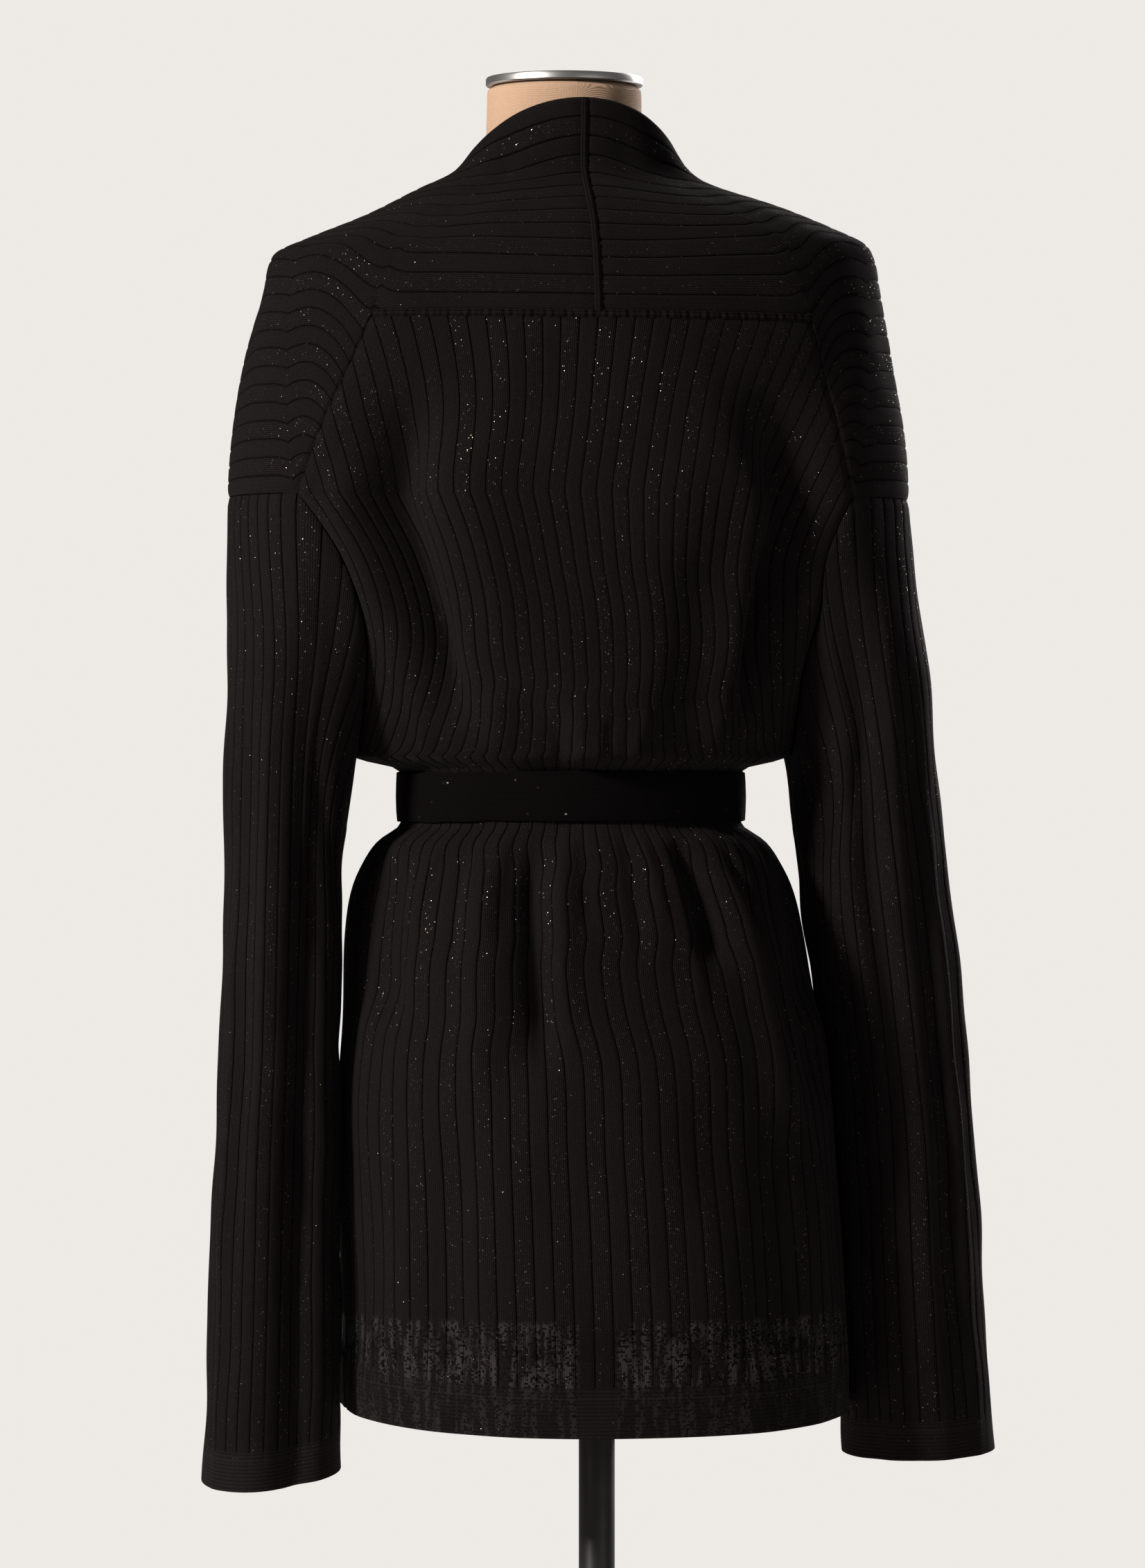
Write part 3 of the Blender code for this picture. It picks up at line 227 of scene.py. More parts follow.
def grid_normals(points: Array, ring: bool, middle: tuple[float, float]) -> Array:
    """Unit normals of a grid: the cross product of its two directions, turned away from an upright axis."""
    if ring:
        wide = np.concatenate((points[:, -1:], points, points[:, :1]), axis=1)
        across = wide[:, 2:] - wide[:, :-2]
    else:
        across = np.gradient(points, axis=1)
    normals = unit(np.cross(across, np.gradient(points, axis=0)))
    away = points - np.array((*middle, 0.0))
    facing = np.median(np.sum(normals[..., :2] * away[..., :2], axis=-1))
    return normals if facing > 0.0 else -normals


# ------------------------------------------------------------------------------ meshes from grids
class Surface:
    """Gathers grids of points, with a cloth coordinate each, and puts their faces into one mesh."""

    def __init__(self) -> None:
        self.points: list[Array] = []
        self.vertex: list[Array] = []
        self.cloth: list[Array] = []
        self.quads: list[Array] = []
        self.tris: list[Array] = []
        self.vertices = 0
        self.corners = 0

    def grid(self, points: Array, cloth: Array, ring: bool = False) -> Array:
        """Adds the points of a grid.

        Args:
            points: (rows, columns, 3).
            cloth: (rows, columns, 2), with one column more where the grid is a ring.
            ring: whether the last column meets the first.

        Returns:
            The numbers of its corners, with the first column again at the end of a ring.
        """
        rows, columns = points.shape[:2]
        vertex = self.vertices + np.arange(rows * columns).reshape(rows, columns)
        if ring:
            vertex = np.concatenate((vertex, vertex[:, :1]), axis=1)
        ids = self.corners + np.arange(vertex.size).reshape(vertex.shape)
        self.points.append(points.reshape(-1, 3))
        self.vertex.append(vertex.ravel())
        self.cloth.append(cloth.reshape(-1, 2))
        self.vertices += rows * columns
        self.corners += vertex.size
        return ids

    def fill(self, ids: Array, flip: bool) -> None:
        """Adds a quad in each cell of a grid of corners."""
        cells = [ids[:-1, :-1], ids[:-1, 1:], ids[1:, 1:], ids[1:, :-1]]
        quads = np.stack([c.ravel() for c in cells], axis=1)
        self.quads.append(quads[:, ::-1] if flip else quads)

    def rim(self, outer: Array, inner: Array, flip: bool) -> None:
        """Joins a line of corners to one with half as many steps, three triangles to each step."""
        a, b, c, low, high = outer[:-2:2], outer[1:-1:2], outer[2::2], inner[:-1], inner[1:]
        sets = [(b, a, low), (low, high, b), (c, b, high)]
        tris = np.concatenate([np.stack(s, axis=1) for s in sets])
        self.tris.append(tris[:, ::-1] if flip else tris)

    def close(self, line: Array, middle: Array, flip: bool) -> None:
        """Closes a round hole with a fan of triangles to a middle point."""
        centre = self.grid(np.array(middle, float).reshape(1, 1, 3), np.zeros((1, 1, 2)))[0, 0]
        tris = np.stack((line[:-1], line[1:], np.full(len(line) - 1, centre)), axis=1)
        self.tris.append(tris[:, ::-1] if flip else tris)

    def tube(self, points: Array, cloth: Array, middle: Array, row: int = 0) -> None:
        """Adds rings of points, closed at both ends, with their faces turned outward.

        Args:
            points: (rings, points of a ring, 3).
            cloth: cloth coordinates, one column more than a ring has points.
            middle: a point inside the piece.
            row: the ring whose first cell says which way the faces turn.
        """
        ids = self.grid(points, cloth, ring=True)
        corner = points[row, 0]
        facing = np.cross(points[row, 1] - corner, points[row + 1, 0] - corner) @ (corner - middle)
        flip = float(facing) < 0.0
        self.fill(ids, flip)
        self.close(ids[0], points[0].mean(axis=0), not flip)
        self.close(ids[-1], points[-1].mean(axis=0), flip)

    def build(
        self, name: str, material: bpy.types.Material, slot: str, sharp: float = 60.0
    ) -> bpy.types.Object:
        """Makes the mesh and its object.

        Args:
            name: the piece's name.
            material: its finish.
            slot: not used.
            sharp: angle in degrees from which an edge is shaded sharp.

        Returns:
            The object, which rides on the root body.
        """
        vertex = np.concatenate(self.vertex)
        cloth = np.concatenate(self.cloth)
        quads = np.concatenate(self.quads) if self.quads else np.zeros((0, 4), int)
        tris = np.concatenate(self.tris) if self.tris else np.zeros((0, 3), int)
        corners = np.concatenate((quads.ravel(), tris.ravel()))
        points = np.concatenate(self.points)
        starts = np.concatenate((np.arange(len(quads)) * 4, 4 * len(quads) + np.arange(len(tris)) * 3))
        mesh = bpy.data.meshes.new(name)
        mesh.vertices.add(len(points))
        mesh.vertices.foreach_set("co", points.ravel())
        mesh.loops.add(len(corners))
        mesh.loops.foreach_set("vertex_index", vertex[corners])
        mesh.polygons.add(len(starts))
        mesh.polygons.foreach_set("loop_start", starts)
        mesh.update(calc_edges=True)
        layer = mesh.uv_layers.new(name="cloth")
        layer.data.foreach_set("uv", cloth[corners].ravel())
        mesh.validate()
        mesh.shade_smooth()
        mesh.set_sharp_from_angle(angle=math.radians(sharp))
        mesh.materials.append(material)
        piece = bpy.data.objects.new(name, mesh)
        bpy.context.scene.collection.objects.link(piece)
        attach(piece, "root")
        log.info("%s: %d triangles", name, 2 * len(quads) + len(tris))
        return piece


@dataclass
class Cloth:
    """A sheet of cloth on a grid: its ground surface, its relief and its cloth coordinates.

    ground: (rows, columns, 3), with odd counts, or an even count of columns in a ring.
    normals: unit normals there.
    relief: how far the outer layer stands over the ground.
    cloth: cloth coordinates, with one column more in a ring.
    """

    name: str
    ground: Array
    normals: Array
    relief: Array
    cloth: Array
    ring: bool = False
    thick: float = WALL

    def build(self, material: bpy.types.Material, slot: str) -> bpy.types.Object:
        """Outer layer ground + relief * normal, inner ground - thickness * normal, joined at the rims."""
        surface = Surface()
        outer = surface.grid(self.ground + self.normals * self.relief[..., None], self.cloth, self.ring)
        inside = (self.ground - self.normals * self.thick)[::2, ::2]
        inner = surface.grid(inside, self.cloth[::2, ::2], self.ring)
        across = self.ground[0, 1] - self.ground[0, 0]
        up = self.ground[1, 0] - self.ground[0, 0]
        flip = float(np.cross(across, up) @ self.normals[0, 0]) < 0.0
        surface.fill(outer, flip)
        surface.fill(inner, not flip)
        surface.rim(outer[0], inner[0], flip)
        surface.rim(outer[-1], inner[-1], not flip)
        if not self.ring:
            surface.rim(outer[:, 0], inner[:, 0], not flip)
            surface.rim(outer[:, -1], inner[:, -1], flip)
        return surface.build(self.name, material, slot)

    def area(self) -> float:
        """Area of the ground surface, from the cross products of its cells' diagonals."""
        p = np.concatenate((self.ground, self.ground[:, :1]), axis=1) if self.ring else self.ground
        cross = np.cross(p[1:, 1:] - p[:-1, :-1], p[1:, :-1] - p[:-1, 1:])
        return float(0.5 * np.linalg.norm(cross, axis=-1).sum())


# ------------------------------------------------------------------------------ the worn shape
@dataclass(frozen=True)
class WornShape:
    """The surface on which the torso, shoulders and collar of the cloth lie."""

    # z, half width, depth to the back, depth to the front, squareness
    sections: Table = (
        (0.600, 0.1640, 0.1510, -0.1430, 2.40),
        (0.700, 0.1620, 0.1460, -0.1390, 2.40),
        (0.800, 0.1600, 0.1400, -0.1350, 2.40),
        (0.900, 0.1580, 0.1330, -0.1290, 2.35),
        (0.960, 0.1540, 0.1240, -0.1230, 2.30),
        (1.000, 0.1430, 0.1120, -0.1140, 2.25),
        (1.018, 0.1310, 0.1030, -0.1060, 2.20),
        (1.031, 0.1155, 0.0925, -0.0955, 2.15),
        (1.0665, 0.1155, 0.0925, -0.0955, 2.15),
        (1.076, 0.1510, 0.1100, -0.1180, 1.60),
        (1.100, 0.1570, 0.1140, -0.1310, 1.85),
        (1.160, 0.1760, 0.1120, -0.1420, 2.25),
        (1.205, 0.2050, 0.1115, -0.1450, 2.20),
        (1.250, 0.2320, 0.1120, -0.1450, 2.20),
        (1.300, 0.2285, 0.1125, -0.1330, 2.20),
        (1.335, 0.2230, 0.1110, -0.1170, 2.20),
        (1.369, 0.2165, 0.1080, -0.1010, 2.20),
        (1.392, 0.2118, 0.1040, -0.0920, 2.20),
        (1.4105, 0.2078, 0.0985, -0.0850, 2.20),
        (1.419, 0.2020, 0.0950, -0.0820, 2.18),
        (1.429, 0.1800, 0.0900, -0.0780, 2.15),
        (1.448, 0.1322, 0.0740, -0.0700, 2.10),
        (1.467, 0.0860, 0.0510, -0.0620, 2.05),
    )
    # back armhole seam: z, distance from the middle on the left and on the right
    armhole: Table = (
        (1.076, 0.1510, 0.1510),
        (1.115, 0.1475, 0.1490),
        (1.160, 0.1500, 0.1530),
        (1.205, 0.1650, 0.1590),
        (1.250, 0.1955, 0.1780),
    )
    # edge of a front: z, turn
    opening: Table = (
        (0.600, 188.0),
        (1.031, 188.0),
        (1.076, 186.0),
        (1.115, 180.5),
        (1.160, 177.0),
        (1.205, 174.8),
        (1.250, 173.0),
        (1.300, 171.0),
        (1.360, 168.0),
        (1.400, 165.0),
        (1.420, 161.5),
        (1.440, 154.0),
        (1.456, 140.0),
    )
    # main folds: from_turn, to_turn, from_z, to_z, half width, rise
    folds: Table = (
        (31, 38, 1.350, 1.085, 8.0, -0.0170),
        (-28, -46, 1.350, 1.085, 8.0, -0.0155),
        (-19, -24, 1.225, 1.075, 10.0, -0.0060),
        (24, 31, 1.125, 1.072, 5.0, 0.0060),
        (20, 20, 1.300, 1.120, 6.0, 0.0045),
        (-9, -13, 1.290, 1.100, 7.0, 0.0040),
        (17, 15, 1.028, 0.860, 5.0, -0.0100),
        (28, 31, 1.028, 0.840, 6.0, 0.0070),
        (-22, -25, 1.026, 0.930, 5.5, -0.0085),
        (-31, -48, 1.024, 0.800, 6.5, 0.0070),
        (70, 66, 1.020, 0.890, 9.0, -0.0105),
        (-66, -68, 1.015, 0.890, 9.0, -0.0070),
        (-49, -66, 1.014, 0.830, 8.0, -0.0055),
        (-4, -2, 0.900, 0.640, 9.0, 0.0040),
        (40, 44, 0.860, 0.640, 8.0, -0.0060),
        (-36, -34, 0.850, 0.640, 7.0, -0.0060),
        (150, 146, 1.230, 1.080, 7.0, -0.0100),
        (-148, -143, 1.230, 1.080, 7.0, -0.0110),
        (128, 132, 1.200, 1.080, 7.0, -0.0090),
        (-126, -130, 1.210, 1.080, 7.0, -0.0080),
        (150, 148, 1.024, 0.840, 6.5, -0.0080),
        (126, 122, 1.024, 0.700, 8.0, -0.0090),
        (-152, -150, 1.024, 0.860, 6.0, -0.0085),
        (-128, -120, 1.022, 0.720, 8.0, -0.0090),
        (104, 108, 0.930, 0.640, 8.0, -0.0060),
        (-104, -106, 0.920, 0.640, 8.0, -0.0060),
        (88, 88, 0.930, 0.560, 34.0, 0.0098),
        (-88, -88, 0.960, 0.560, 30.0, 0.0022),
    )
    # small creases, in the same columns: gathers under and over the belt, then soft drags
    creases: Table = (
        (9, 10, 1.032, 0.900, 2.2, 0.0022),
        (4, 3, 1.030, 0.955, 1.8, -0.0020),
        (-6, -6, 1.031, 0.930, 2.0, -0.0024),
        (-11, -12, 1.031, 0.960, 1.8, 0.0020),
        (-17, -19, 1.030, 0.900, 2.2, 0.0022),
        (22, 24, 1.031, 0.940, 2.0, -0.0022),
        (36, 37, 1.030, 0.930, 2.4, -0.0022),
        (-38, -41, 1.030, 0.940, 2.4, -0.0024),
        (48, 50, 1.028, 0.950, 2.6, 0.0020),
        (-55, -57, 1.028, 0.930, 2.8, 0.0020),
        (6, 8, 1.110, 1.067, 2.6, 0.0024),
        (-3, -4, 1.105, 1.067, 2.2, -0.0022),
        (-12, -14, 1.112, 1.067, 2.6, 0.0024),
        (13, 14, 1.100, 1.067, 2.2, -0.0022),
        (-33, -37, 1.120, 1.068, 3.0, 0.0028),
        (45, 50, 1.128, 1.070, 3.0, 0.0026),
        (-50, -58, 1.125, 1.070, 3.0, -0.0024),
        (33, 39, 1.320, 1.080, 4.2, -0.0085),
        (-31, -45, 1.310, 1.080, 4.2, -0.0080),
        (25, 31, 1.310, 1.100, 4.5, 0.0050),
        (-22, -35, 1.300, 1.100, 4.5, 0.0048),
        (43, 50, 1.290, 1.090, 5.0, 0.0045),
        (-52, -58, 1.270, 1.090, 5.0, 0.0045),
        (17, 15, 1.028, 0.860, 3.0, -0.0050),
        (-23, -26, 1.026, 0.930, 3.0, -0.0052),
        (-37, -52, 1.020, 0.850, 3.2, -0.0046),
        (8, 9, 1.030, 0.870, 3.2, 0.0034),
        (60, 58, 1.020, 0.880, 5.0, -0.0046),
        (2, 4, 1.365, 1.290, 7.0, -0.0012),
        (12, 17, 1.366, 1.240, 4.0, 0.0014),
        (-14, -20, 1.366, 1.250, 4.0, 0.0014),
        (40, 52, 1.290, 1.140, 4.5, 0.0022),
        (-40, -54, 1.300, 1.150, 4.5, 0.0022),
        (-52, -40, 1.380, 1.300, 6.0, -0.0016),
        (50, 42, 1.380, 1.300, 6.0, -0.0016),
        (103, 103, 0.940, 0.560, 14.0, 0.0062),
        (-77, -77, 0.960, 0.560, 12.0, 0.0036),
        (0, 0, 0.760, 0.632, 5.0, -0.0012),
        (14, 12, 0.780, 0.632, 5.0, 0.0016),
        (-14, -16, 0.800, 0.632, 5.0, 0.0016),
        (58, 60, 0.840, 0.640, 6.0, 0.0022),
        (-56, -58, 0.840, 0.640, 6.0, 0.0022),
        (165, 163, 1.180, 1.075, 3.0, 0.0022),
        (138, 138, 1.180, 1.075, 3.0, 0.0022),
        (116, 118, 1.150, 1.078, 3.0, 0.0020),
        (-160, -158, 1.160, 1.078, 3.0, 0.0022),
        (-137, -137, 1.170, 1.075, 3.0, 0.0022),
        (-115, -116, 1.150, 1.078, 3.0, 0.0020),
        (138, 136, 1.030, 0.900, 3.0, 0.0024),
        (112, 112, 1.030, 0.930, 3.0, 0.0022),
        (-140, -138, 1.030, 0.900, 3.0, 0.0024),
        (-114, -113, 1.030, 0.930, 3.0, 0.0022),
        (166, 166, 1.030, 0.930, 2.4, 0.0020),
        (-164, -164, 1.030, 0.930, 2.4, 0.0020),
    )
    # waves round the waist: waves in a turn, phase, rise
    gathers: Table = ((17.0, 0.6, 0.0016), (11.0, 2.1, 0.0018))
    # unevenness: waves by angle, waves by height, phase, rise
    waves: Table = (
        (5.0, 31.0, 0.4, 0.00045),
        (9.0, -23.0, 1.9, 0.00040),
        (14.0, 47.0, 3.1, 0.00028),
        (-19.0, 38.0, 5.2, 0.00024),
    )

    def lean(self, z: Array) -> Array:
        """How far the bust leans toward +X at a height, an eased step."""
        return LEAN * ease((z - LEAN_LOW) / (LEAN_HIGH - LEAN_LOW))

    def half(self, z: Array) -> Array:
        """Half width of the section at a height."""
        return smooth_table(z, column(self.sections, 0), column(self.sections, 1))

    def point(self, turn: Array, z: Array, folded: bool = True) -> Array:
        """A point of the cloth: a rounded-square section at the height, moved out by its folds.

        Args:
            turn: degrees from the centre back.
            z: heights.
            folded: whether folds, gathers and creases are added.

        Returns:
            Points, with x = half * sin^b, y = depth * cos^b, b = 2 / squareness.
        """
        turn, z = np.broadcast_arrays(np.asarray(turn, float), np.asarray(z, float))
        angle = np.radians(turn)
        stations = column(self.sections, 0)
        half, back, front, square = (
            smooth_table(z, stations, column(self.sections, k)) for k in (1, 2, 3, 4)
        )
        bend = 2.0 / square
        depth = np.where(np.cos(angle) >= 0.0, back, -front)
        x = half * power(np.sin(angle), bend)
        y = depth * power(np.cos(angle), bend)
        if folded:
            from_waist = np.maximum(z - BELT_HIGH, BELT_LOW - z)
            near = np.exp(-np.clip(from_waist, 0.0, None) / 0.035) * ease(from_waist / 0.008)
            gathered = sum(rise * np.sin(count * angle + phase) for count, phase, rise in self.gathers)
            from_side = np.abs(np.abs((turn + 180.0) % 360.0 - 180.0) - 90.0)
            rise = fold_sum(self.folds, turn, z) + gathered * near * ease((from_side - 4.0) / 18.0)
            small = fold_sum(self.creases, turn, z) + ripple(self.waves, angle, z)
            rise = rise + small * ease((from_side - 3.0) / 12.0) * ease(from_waist / 0.010)
            outward = unit(np.stack((x / half, y / depth), axis=-1))
            x = x + rise * outward[..., 0]
            y = y + rise * outward[..., 1]
        return np.stack((x + self.lean(z), y, z + shoulder_tilt(x, z)), axis=-1)

    def turn_at(self, x: Array, z: Array) -> Array:
        """The turn in degrees at which the back of a section is x out from its middle."""
        square = smooth_table(z, column(self.sections, 0), column(self.sections, 4))
        return np.degrees(np.arcsin(np.clip((x / self.half(z)) ** (square / 2.0), -1.0, 1.0)))

    def edge_turn(self, z: Array, side: Side) -> Array:
        """Turn of the side seam, and above the underarm of the back armhole seam."""
        out = smooth_table(z, column(self.armhole, 0), column(self.armhole, 1 if side is Side.LEFT else 2))
        return np.where(z <= UNDERARM_Z + 1e-6, 90.0, self.turn_at(out, z))

    def opening_turn(self, z: Array) -> Array:
        """Turn of a front's edge at a height."""
        return smooth_table(z, column(self.opening, 0), column(self.opening, 1))

    def row_height(self, height: Array, turn: Array) -> Array:
        """Height of a level row, which follows the hem near it: higher at the sides and front."""
        near = np.clip((0.71 - height) / (0.71 - HEM_Z), 0.0, 1.0)
        return height + near * HEM_RISE * (1.0 - np.cos(np.radians(turn)))

    def collar_edge(self, turn: Array, side: Side) -> Array:
        """Top edge of the collar: an ellipse seen from above whose height falls as 1 - cos of the turn."""
        angle = np.radians(turn)
        z = COLLAR_BACK_Z - COLLAR_DROP * (1.0 - np.cos(angle))
        x = side.value * COLLAR_HALF * np.sin(angle) + self.lean(z)
        return np.stack((x, COLLAR_MID_Y + COLLAR_DEPTH * np.cos(angle), z), axis=-1)


SHAPE = WornShape()


def rib_relief(ribs: Array, ground: Array, plain: Array | float = 0.0) -> Array:
    """Ribs raised over their grooves: rise * (1 - |2f - 1|^8) of the share f across a rib.

    Args:
        ribs: rib coordinate, whole numbers in the grooves.
        ground: points of the cloth.
        plain: 1 where a hem or cuff hides the ribs.

    Returns:
        The relief, pressed flatter under the belt and faded out at the underarm.
    """
    across = np.abs(2.0 * (ribs % 1.0) - 1.0)
    x, y, z = np.moveaxis(ground, -1, 0)
    belt = ease((0.024 - np.abs(z - 0.5 * (BELT_LOW + BELT_HIGH))) / 0.006)
    on_body = np.abs(x - LEAN) < 0.160
    away = np.sqrt((np.abs(x - LEAN) - 0.151) ** 2 + y**2 + (z - UNDERARM_Z) ** 2)
    press = (1.0 - 0.7 * belt * on_body) * ease((away - 0.012) / 0.040)
    return RIB_RISE * (1.0 - across**8) * press * (1.0 - 0.75 * plain)


def seam_dip(distance: Array) -> Array:
    """How far cloth sinks beside a seam: dip * exp(-(distance / reach)^2)."""
    return SEAM_DIP * np.exp(-((distance / SEAM_REACH) ** 2))


# ------------------------------------------------------------------------------ knit panels
def level_heights() -> Array:
    """Heights of the level rows from hem to sleeve head, closest at the belt."""
    skirt = np.linspace(HEM_Z, WAIST_FOOT, SKIRT_ROWS)
    waist = np.linspace(WAIST_FOOT, WAIST_TOP, WAIST_ROWS)[1:]
    blouse = np.linspace(WAIST_TOP, HEAD_Z, BLOUSE_ROWS)[1:]
    return np.concatenate((skirt, waist, blouse))


@dataclass
class BackPanel:
    """The back below the yoke seam, with vertical ribs."""

    ribs: int = 40
    yoke_ribs: int = 24
    hem: float = 0.034
    flat: tuple[float, float] = (0.56, 0.80)
    area: float = 0.335

    def cloth(self) -> Cloth:
        """Level rows from hem to sleeve head, then rows between the diagonal seams up to the yoke seam.

        Returns:
            The back as a grid of cloth, its ribs thinned out toward the yoke seam.
        """
        share = np.linspace(0.0, 1.0, DIAGONAL_ROWS)[1:]
        z = np.concatenate((level_heights(), HEAD_Z + (YOKE_Z - HEAD_Z) * share))
        z = z if len(z) % 2 else z[1:]
        level = np.maximum(z, 0.7)
        up = np.clip((z - HEAD_Z) / (YOKE_Z - HEAD_Z), 0.0, 1.0)
        ends = {}
        for side in Side:
            start = SHAPE.edge_turn(np.array(HEAD_Z), side)
            top = SHAPE.turn_at(np.array(YOKE_HALF), np.array(YOKE_Z))
            below = SHAPE.edge_turn(np.minimum(level, HEAD_Z), side)
            ends[side] = np.where(z <= HEAD_Z, below, start + (top - start) * up)
        across = np.linspace(0.0, 1.0, FINE + 1)
        turn = -ends[Side.RIGHT][:, None] + (ends[Side.LEFT] + ends[Side.RIGHT])[:, None] * across
        rows = SHAPE.point(turn, SHAPE.row_height(z[:, None], turn))
        ground = spread(rows, STEPS_PER_RIB * self.ribs)
        count = self.ribs + (self.yoke_ribs - self.ribs) * up
        ribs = (np.linspace(-0.5, 0.5, ground.shape[1]) * count[:, None]) + self.ribs / 2.0
        run, rise = lengths(ground, 1), lengths(ground, 0)
        plain = ease((self.hem - rise) / HEM_STEP)
        relief = rib_relief(ribs, ground, plain) + HEM_RAISE * plain
        relief -= seam_dip(run) + seam_dip(run[:, -1:] - run) + seam_dip(rise[-1:] - rise)
        normals = grid_normals(ground, False, (LEAN, 0.0))
        return Cloth("back", ground, normals, relief, np.stack((ribs, rise), -1))


@dataclass
class FrontPanel:
    """A front cut in one with its shoulder, half of the back yoke and half of the collar."""

    side: Side
    ribs: int = 25
    yoke_ribs: int = 13
    hem: float = 0.034
    flat: tuple[float, float] = (0.42, 1.19)
    area: float = 0.250
    # turns on the collar's top edge where the upper rows start
    fan: tuple[float, ...] = (88.0, 72.0, 60.0, 50.5, 42.5, 34.0, 25.5, 17.0, 8.5, 0.0)
    head_steps: int = 5
    diagonal_steps: int = 4

    @property
    def last_row(self) -> int:
        """Number of the last upper row, at the centre back seam."""
        return len(self.fan) + 3

    def level_rows(self, height: Array, across: Array) -> Array:
        """Rows from the opening to the side seam or armhole; higher ones fall toward the armhole."""
        rise_z = np.array((1.076, 1.115, 1.160, 1.205, 1.250))
        rise = smooth_table(height, rise_z, np.array((0.0, 0.020, 0.040, 0.057, 0.070)))[:, None]
        level = np.maximum(height, 0.7)[:, None]
        back = SHAPE.edge_turn(level, self.side)
        edge = np.where(level <= UNDERARM_Z + 1e-6, 90.0, 180.0 - back)
        start = SHAPE.opening_turn(level + rise)
        turn = start + (edge - start) * across
        z = SHAPE.row_height(height[:, None], turn) + rise * (1.0 - across**2)
        return SHAPE.point(self.side.value * turn, z)

    def outer_ends(self, p: Array) -> tuple[Array, Array]:
        """Outer ends of the upper rows along the sleeve head, diagonal and yoke seams.

        Args:
            p: row numbers, from 0 at the armhole's front to the last row.

        Returns:
            Turn and height of each row's outer end.
        """
        back = float(SHAPE.edge_turn(np.array(HEAD_Z), self.side))
        top = float(SHAPE.turn_at(np.array(YOKE_HALF), np.array(YOKE_Z)))
        a, b, c = self.head_steps, self.head_steps + self.diagonal_steps, self.last_row
        turn = np.interp(p, (0, a, b, c), (180.0 - back, back, top, 0.0))
        return turn, np.interp(p, (0, a, b, c), (HEAD_Z, HEAD_Z, YOKE_Z, YOKE_Z))

    def shoulder_rows(self, p: Array, across: Array) -> Array:
        """Rows from the opening over the shoulder: the fall grows as the square of the share."""
        turn, z = (v[:, None] for v in self.outer_ends(p))
        inner_z = smooth_table(p, np.arange(4.0), np.array((1.320, 1.385, 1.432, 1.456)))[:, None]
        start = SHAPE.opening_turn(inner_z)
        height = inner_z + (z - inner_z) * across**2
        return SHAPE.point(self.side.value * (start + (turn - start) * across), height)

    def collar_rows(self, p: Array, across: Array) -> Array:
        """Rows from the collar's top edge down to its foot and on over the shoulder to the outer seam."""
        turn, z = (v[:, None] for v in self.outer_ends(p))
        inner = smooth_table(np.maximum(p, 3.0), np.arange(3.0, 14.0), np.array((100.0, *self.fan)))
        inner = np.where(p < 4.0, self.fan[0], inner)[:, None]
        up = np.clip(across / COLLAR_SHARE, 0.0, 1.0)
        down = np.clip((across - COLLAR_SHARE) / (1.0 - COLLAR_SHARE), 0.0, 1.0)
        spread_turn = inner + (turn - inner) * down**COLLAR_SPREAD
        body = SHAPE.point(self.side.value * spread_turn, RING_Z + (z - RING_Z) * down)
        edge = SHAPE.collar_edge(inner, self.side)
        foot = SHAPE.point(self.side.value * inner, np.full_like(inner, RING_Z))
        standing = edge + (foot - edge) * up[..., None]
        return np.where(np.broadcast_to(across < COLLAR_SHARE, body.shape[:2])[..., None], standing, body)

    def lapped(self, points: Array) -> Array:
        """Parts the fronts where they overlap: the right one out, both up or down above the belt."""
        x, y, z = np.moveaxis(points, -1, 0)
        near = ease((0.070 - self.side.value * (x - SHAPE.lean(z))) / 0.035) * (y < 0.0)
        bag = LAP_PART * near * ease((1.125 - z) / 0.045)
        moved = points.copy()
        if self.side is Side.LEFT:
            moved[..., 2] += bag * ease((z - 1.040) / 0.020)
        else:
            moved[..., 1] -= LAP * near * ease((1.21 - z) / 0.06)
            moved[..., 2] -= bag * ease((z - BELT_HIGH) / 0.0095)
        return moved

    def cloth(self) -> Cloth:
        """Joins level, shoulder and collar rows in one grid, from the hem round to the centre back seam.

        Returns:
            The front as a grid of cloth, lapped over or under its neighbour.
        """
        across = np.linspace(0.0, 1.0, FINE + 1)[None]
        height = level_heights()
        p = np.linspace(0.0, self.last_row, UPPER_ROWS)[1:]
        shoulder = self.shoulder_rows(np.minimum(p, 4.0), across)
        lower = self.shoulder_rows(np.where(p < 4.0, p, 3.0), across)
        shoulder = np.where((p < 4.0)[:, None, None], lower, shoulder)
        collar = self.collar_rows(p, across)
        blend = ease(p - 3.0)[:, None, None]
        upper = shoulder * (1.0 - blend) + collar * blend
        rows = np.concatenate((self.level_rows(height, across), upper))
        fewer = self.ribs - (self.ribs - self.yoke_ribs) * ease((p - 4.6) / 4.9)
        count = np.concatenate((np.full(len(height), float(self.ribs)), fewer))
        round_off = np.concatenate((np.zeros(len(height)), COLLAR_ROUND * ease(p - 3.0)))
        if len(rows) % 2 == 0:
            rows, count, round_off = rows[1:], count[1:], round_off[1:]
        ground = self.lapped(spread(rows, STEPS_PER_RIB * self.ribs, round_off))
        ribs = np.linspace(0.0, 1.0, ground.shape[1]) * count[:, None]
        run, rise = lengths(ground, 1), lengths(ground, 0)
        plain = ease((self.hem - rise) / HEM_STEP)
        relief = rib_relief(ribs, ground, plain) + HEM_RAISE * plain
        relief -= seam_dip(run[:, -1:] - run) + seam_dip(rise[-1:] - rise)
        relief -= EDGE_DIP * np.exp(-((run / EDGE_REACH) ** 2))
        name = "front_" + self.side.name.lower() + "_knit"
        normals = grid_normals(ground, False, (LEAN, 0.0))
        return Cloth(name, ground, normals, relief, np.stack((ribs, rise), -1))


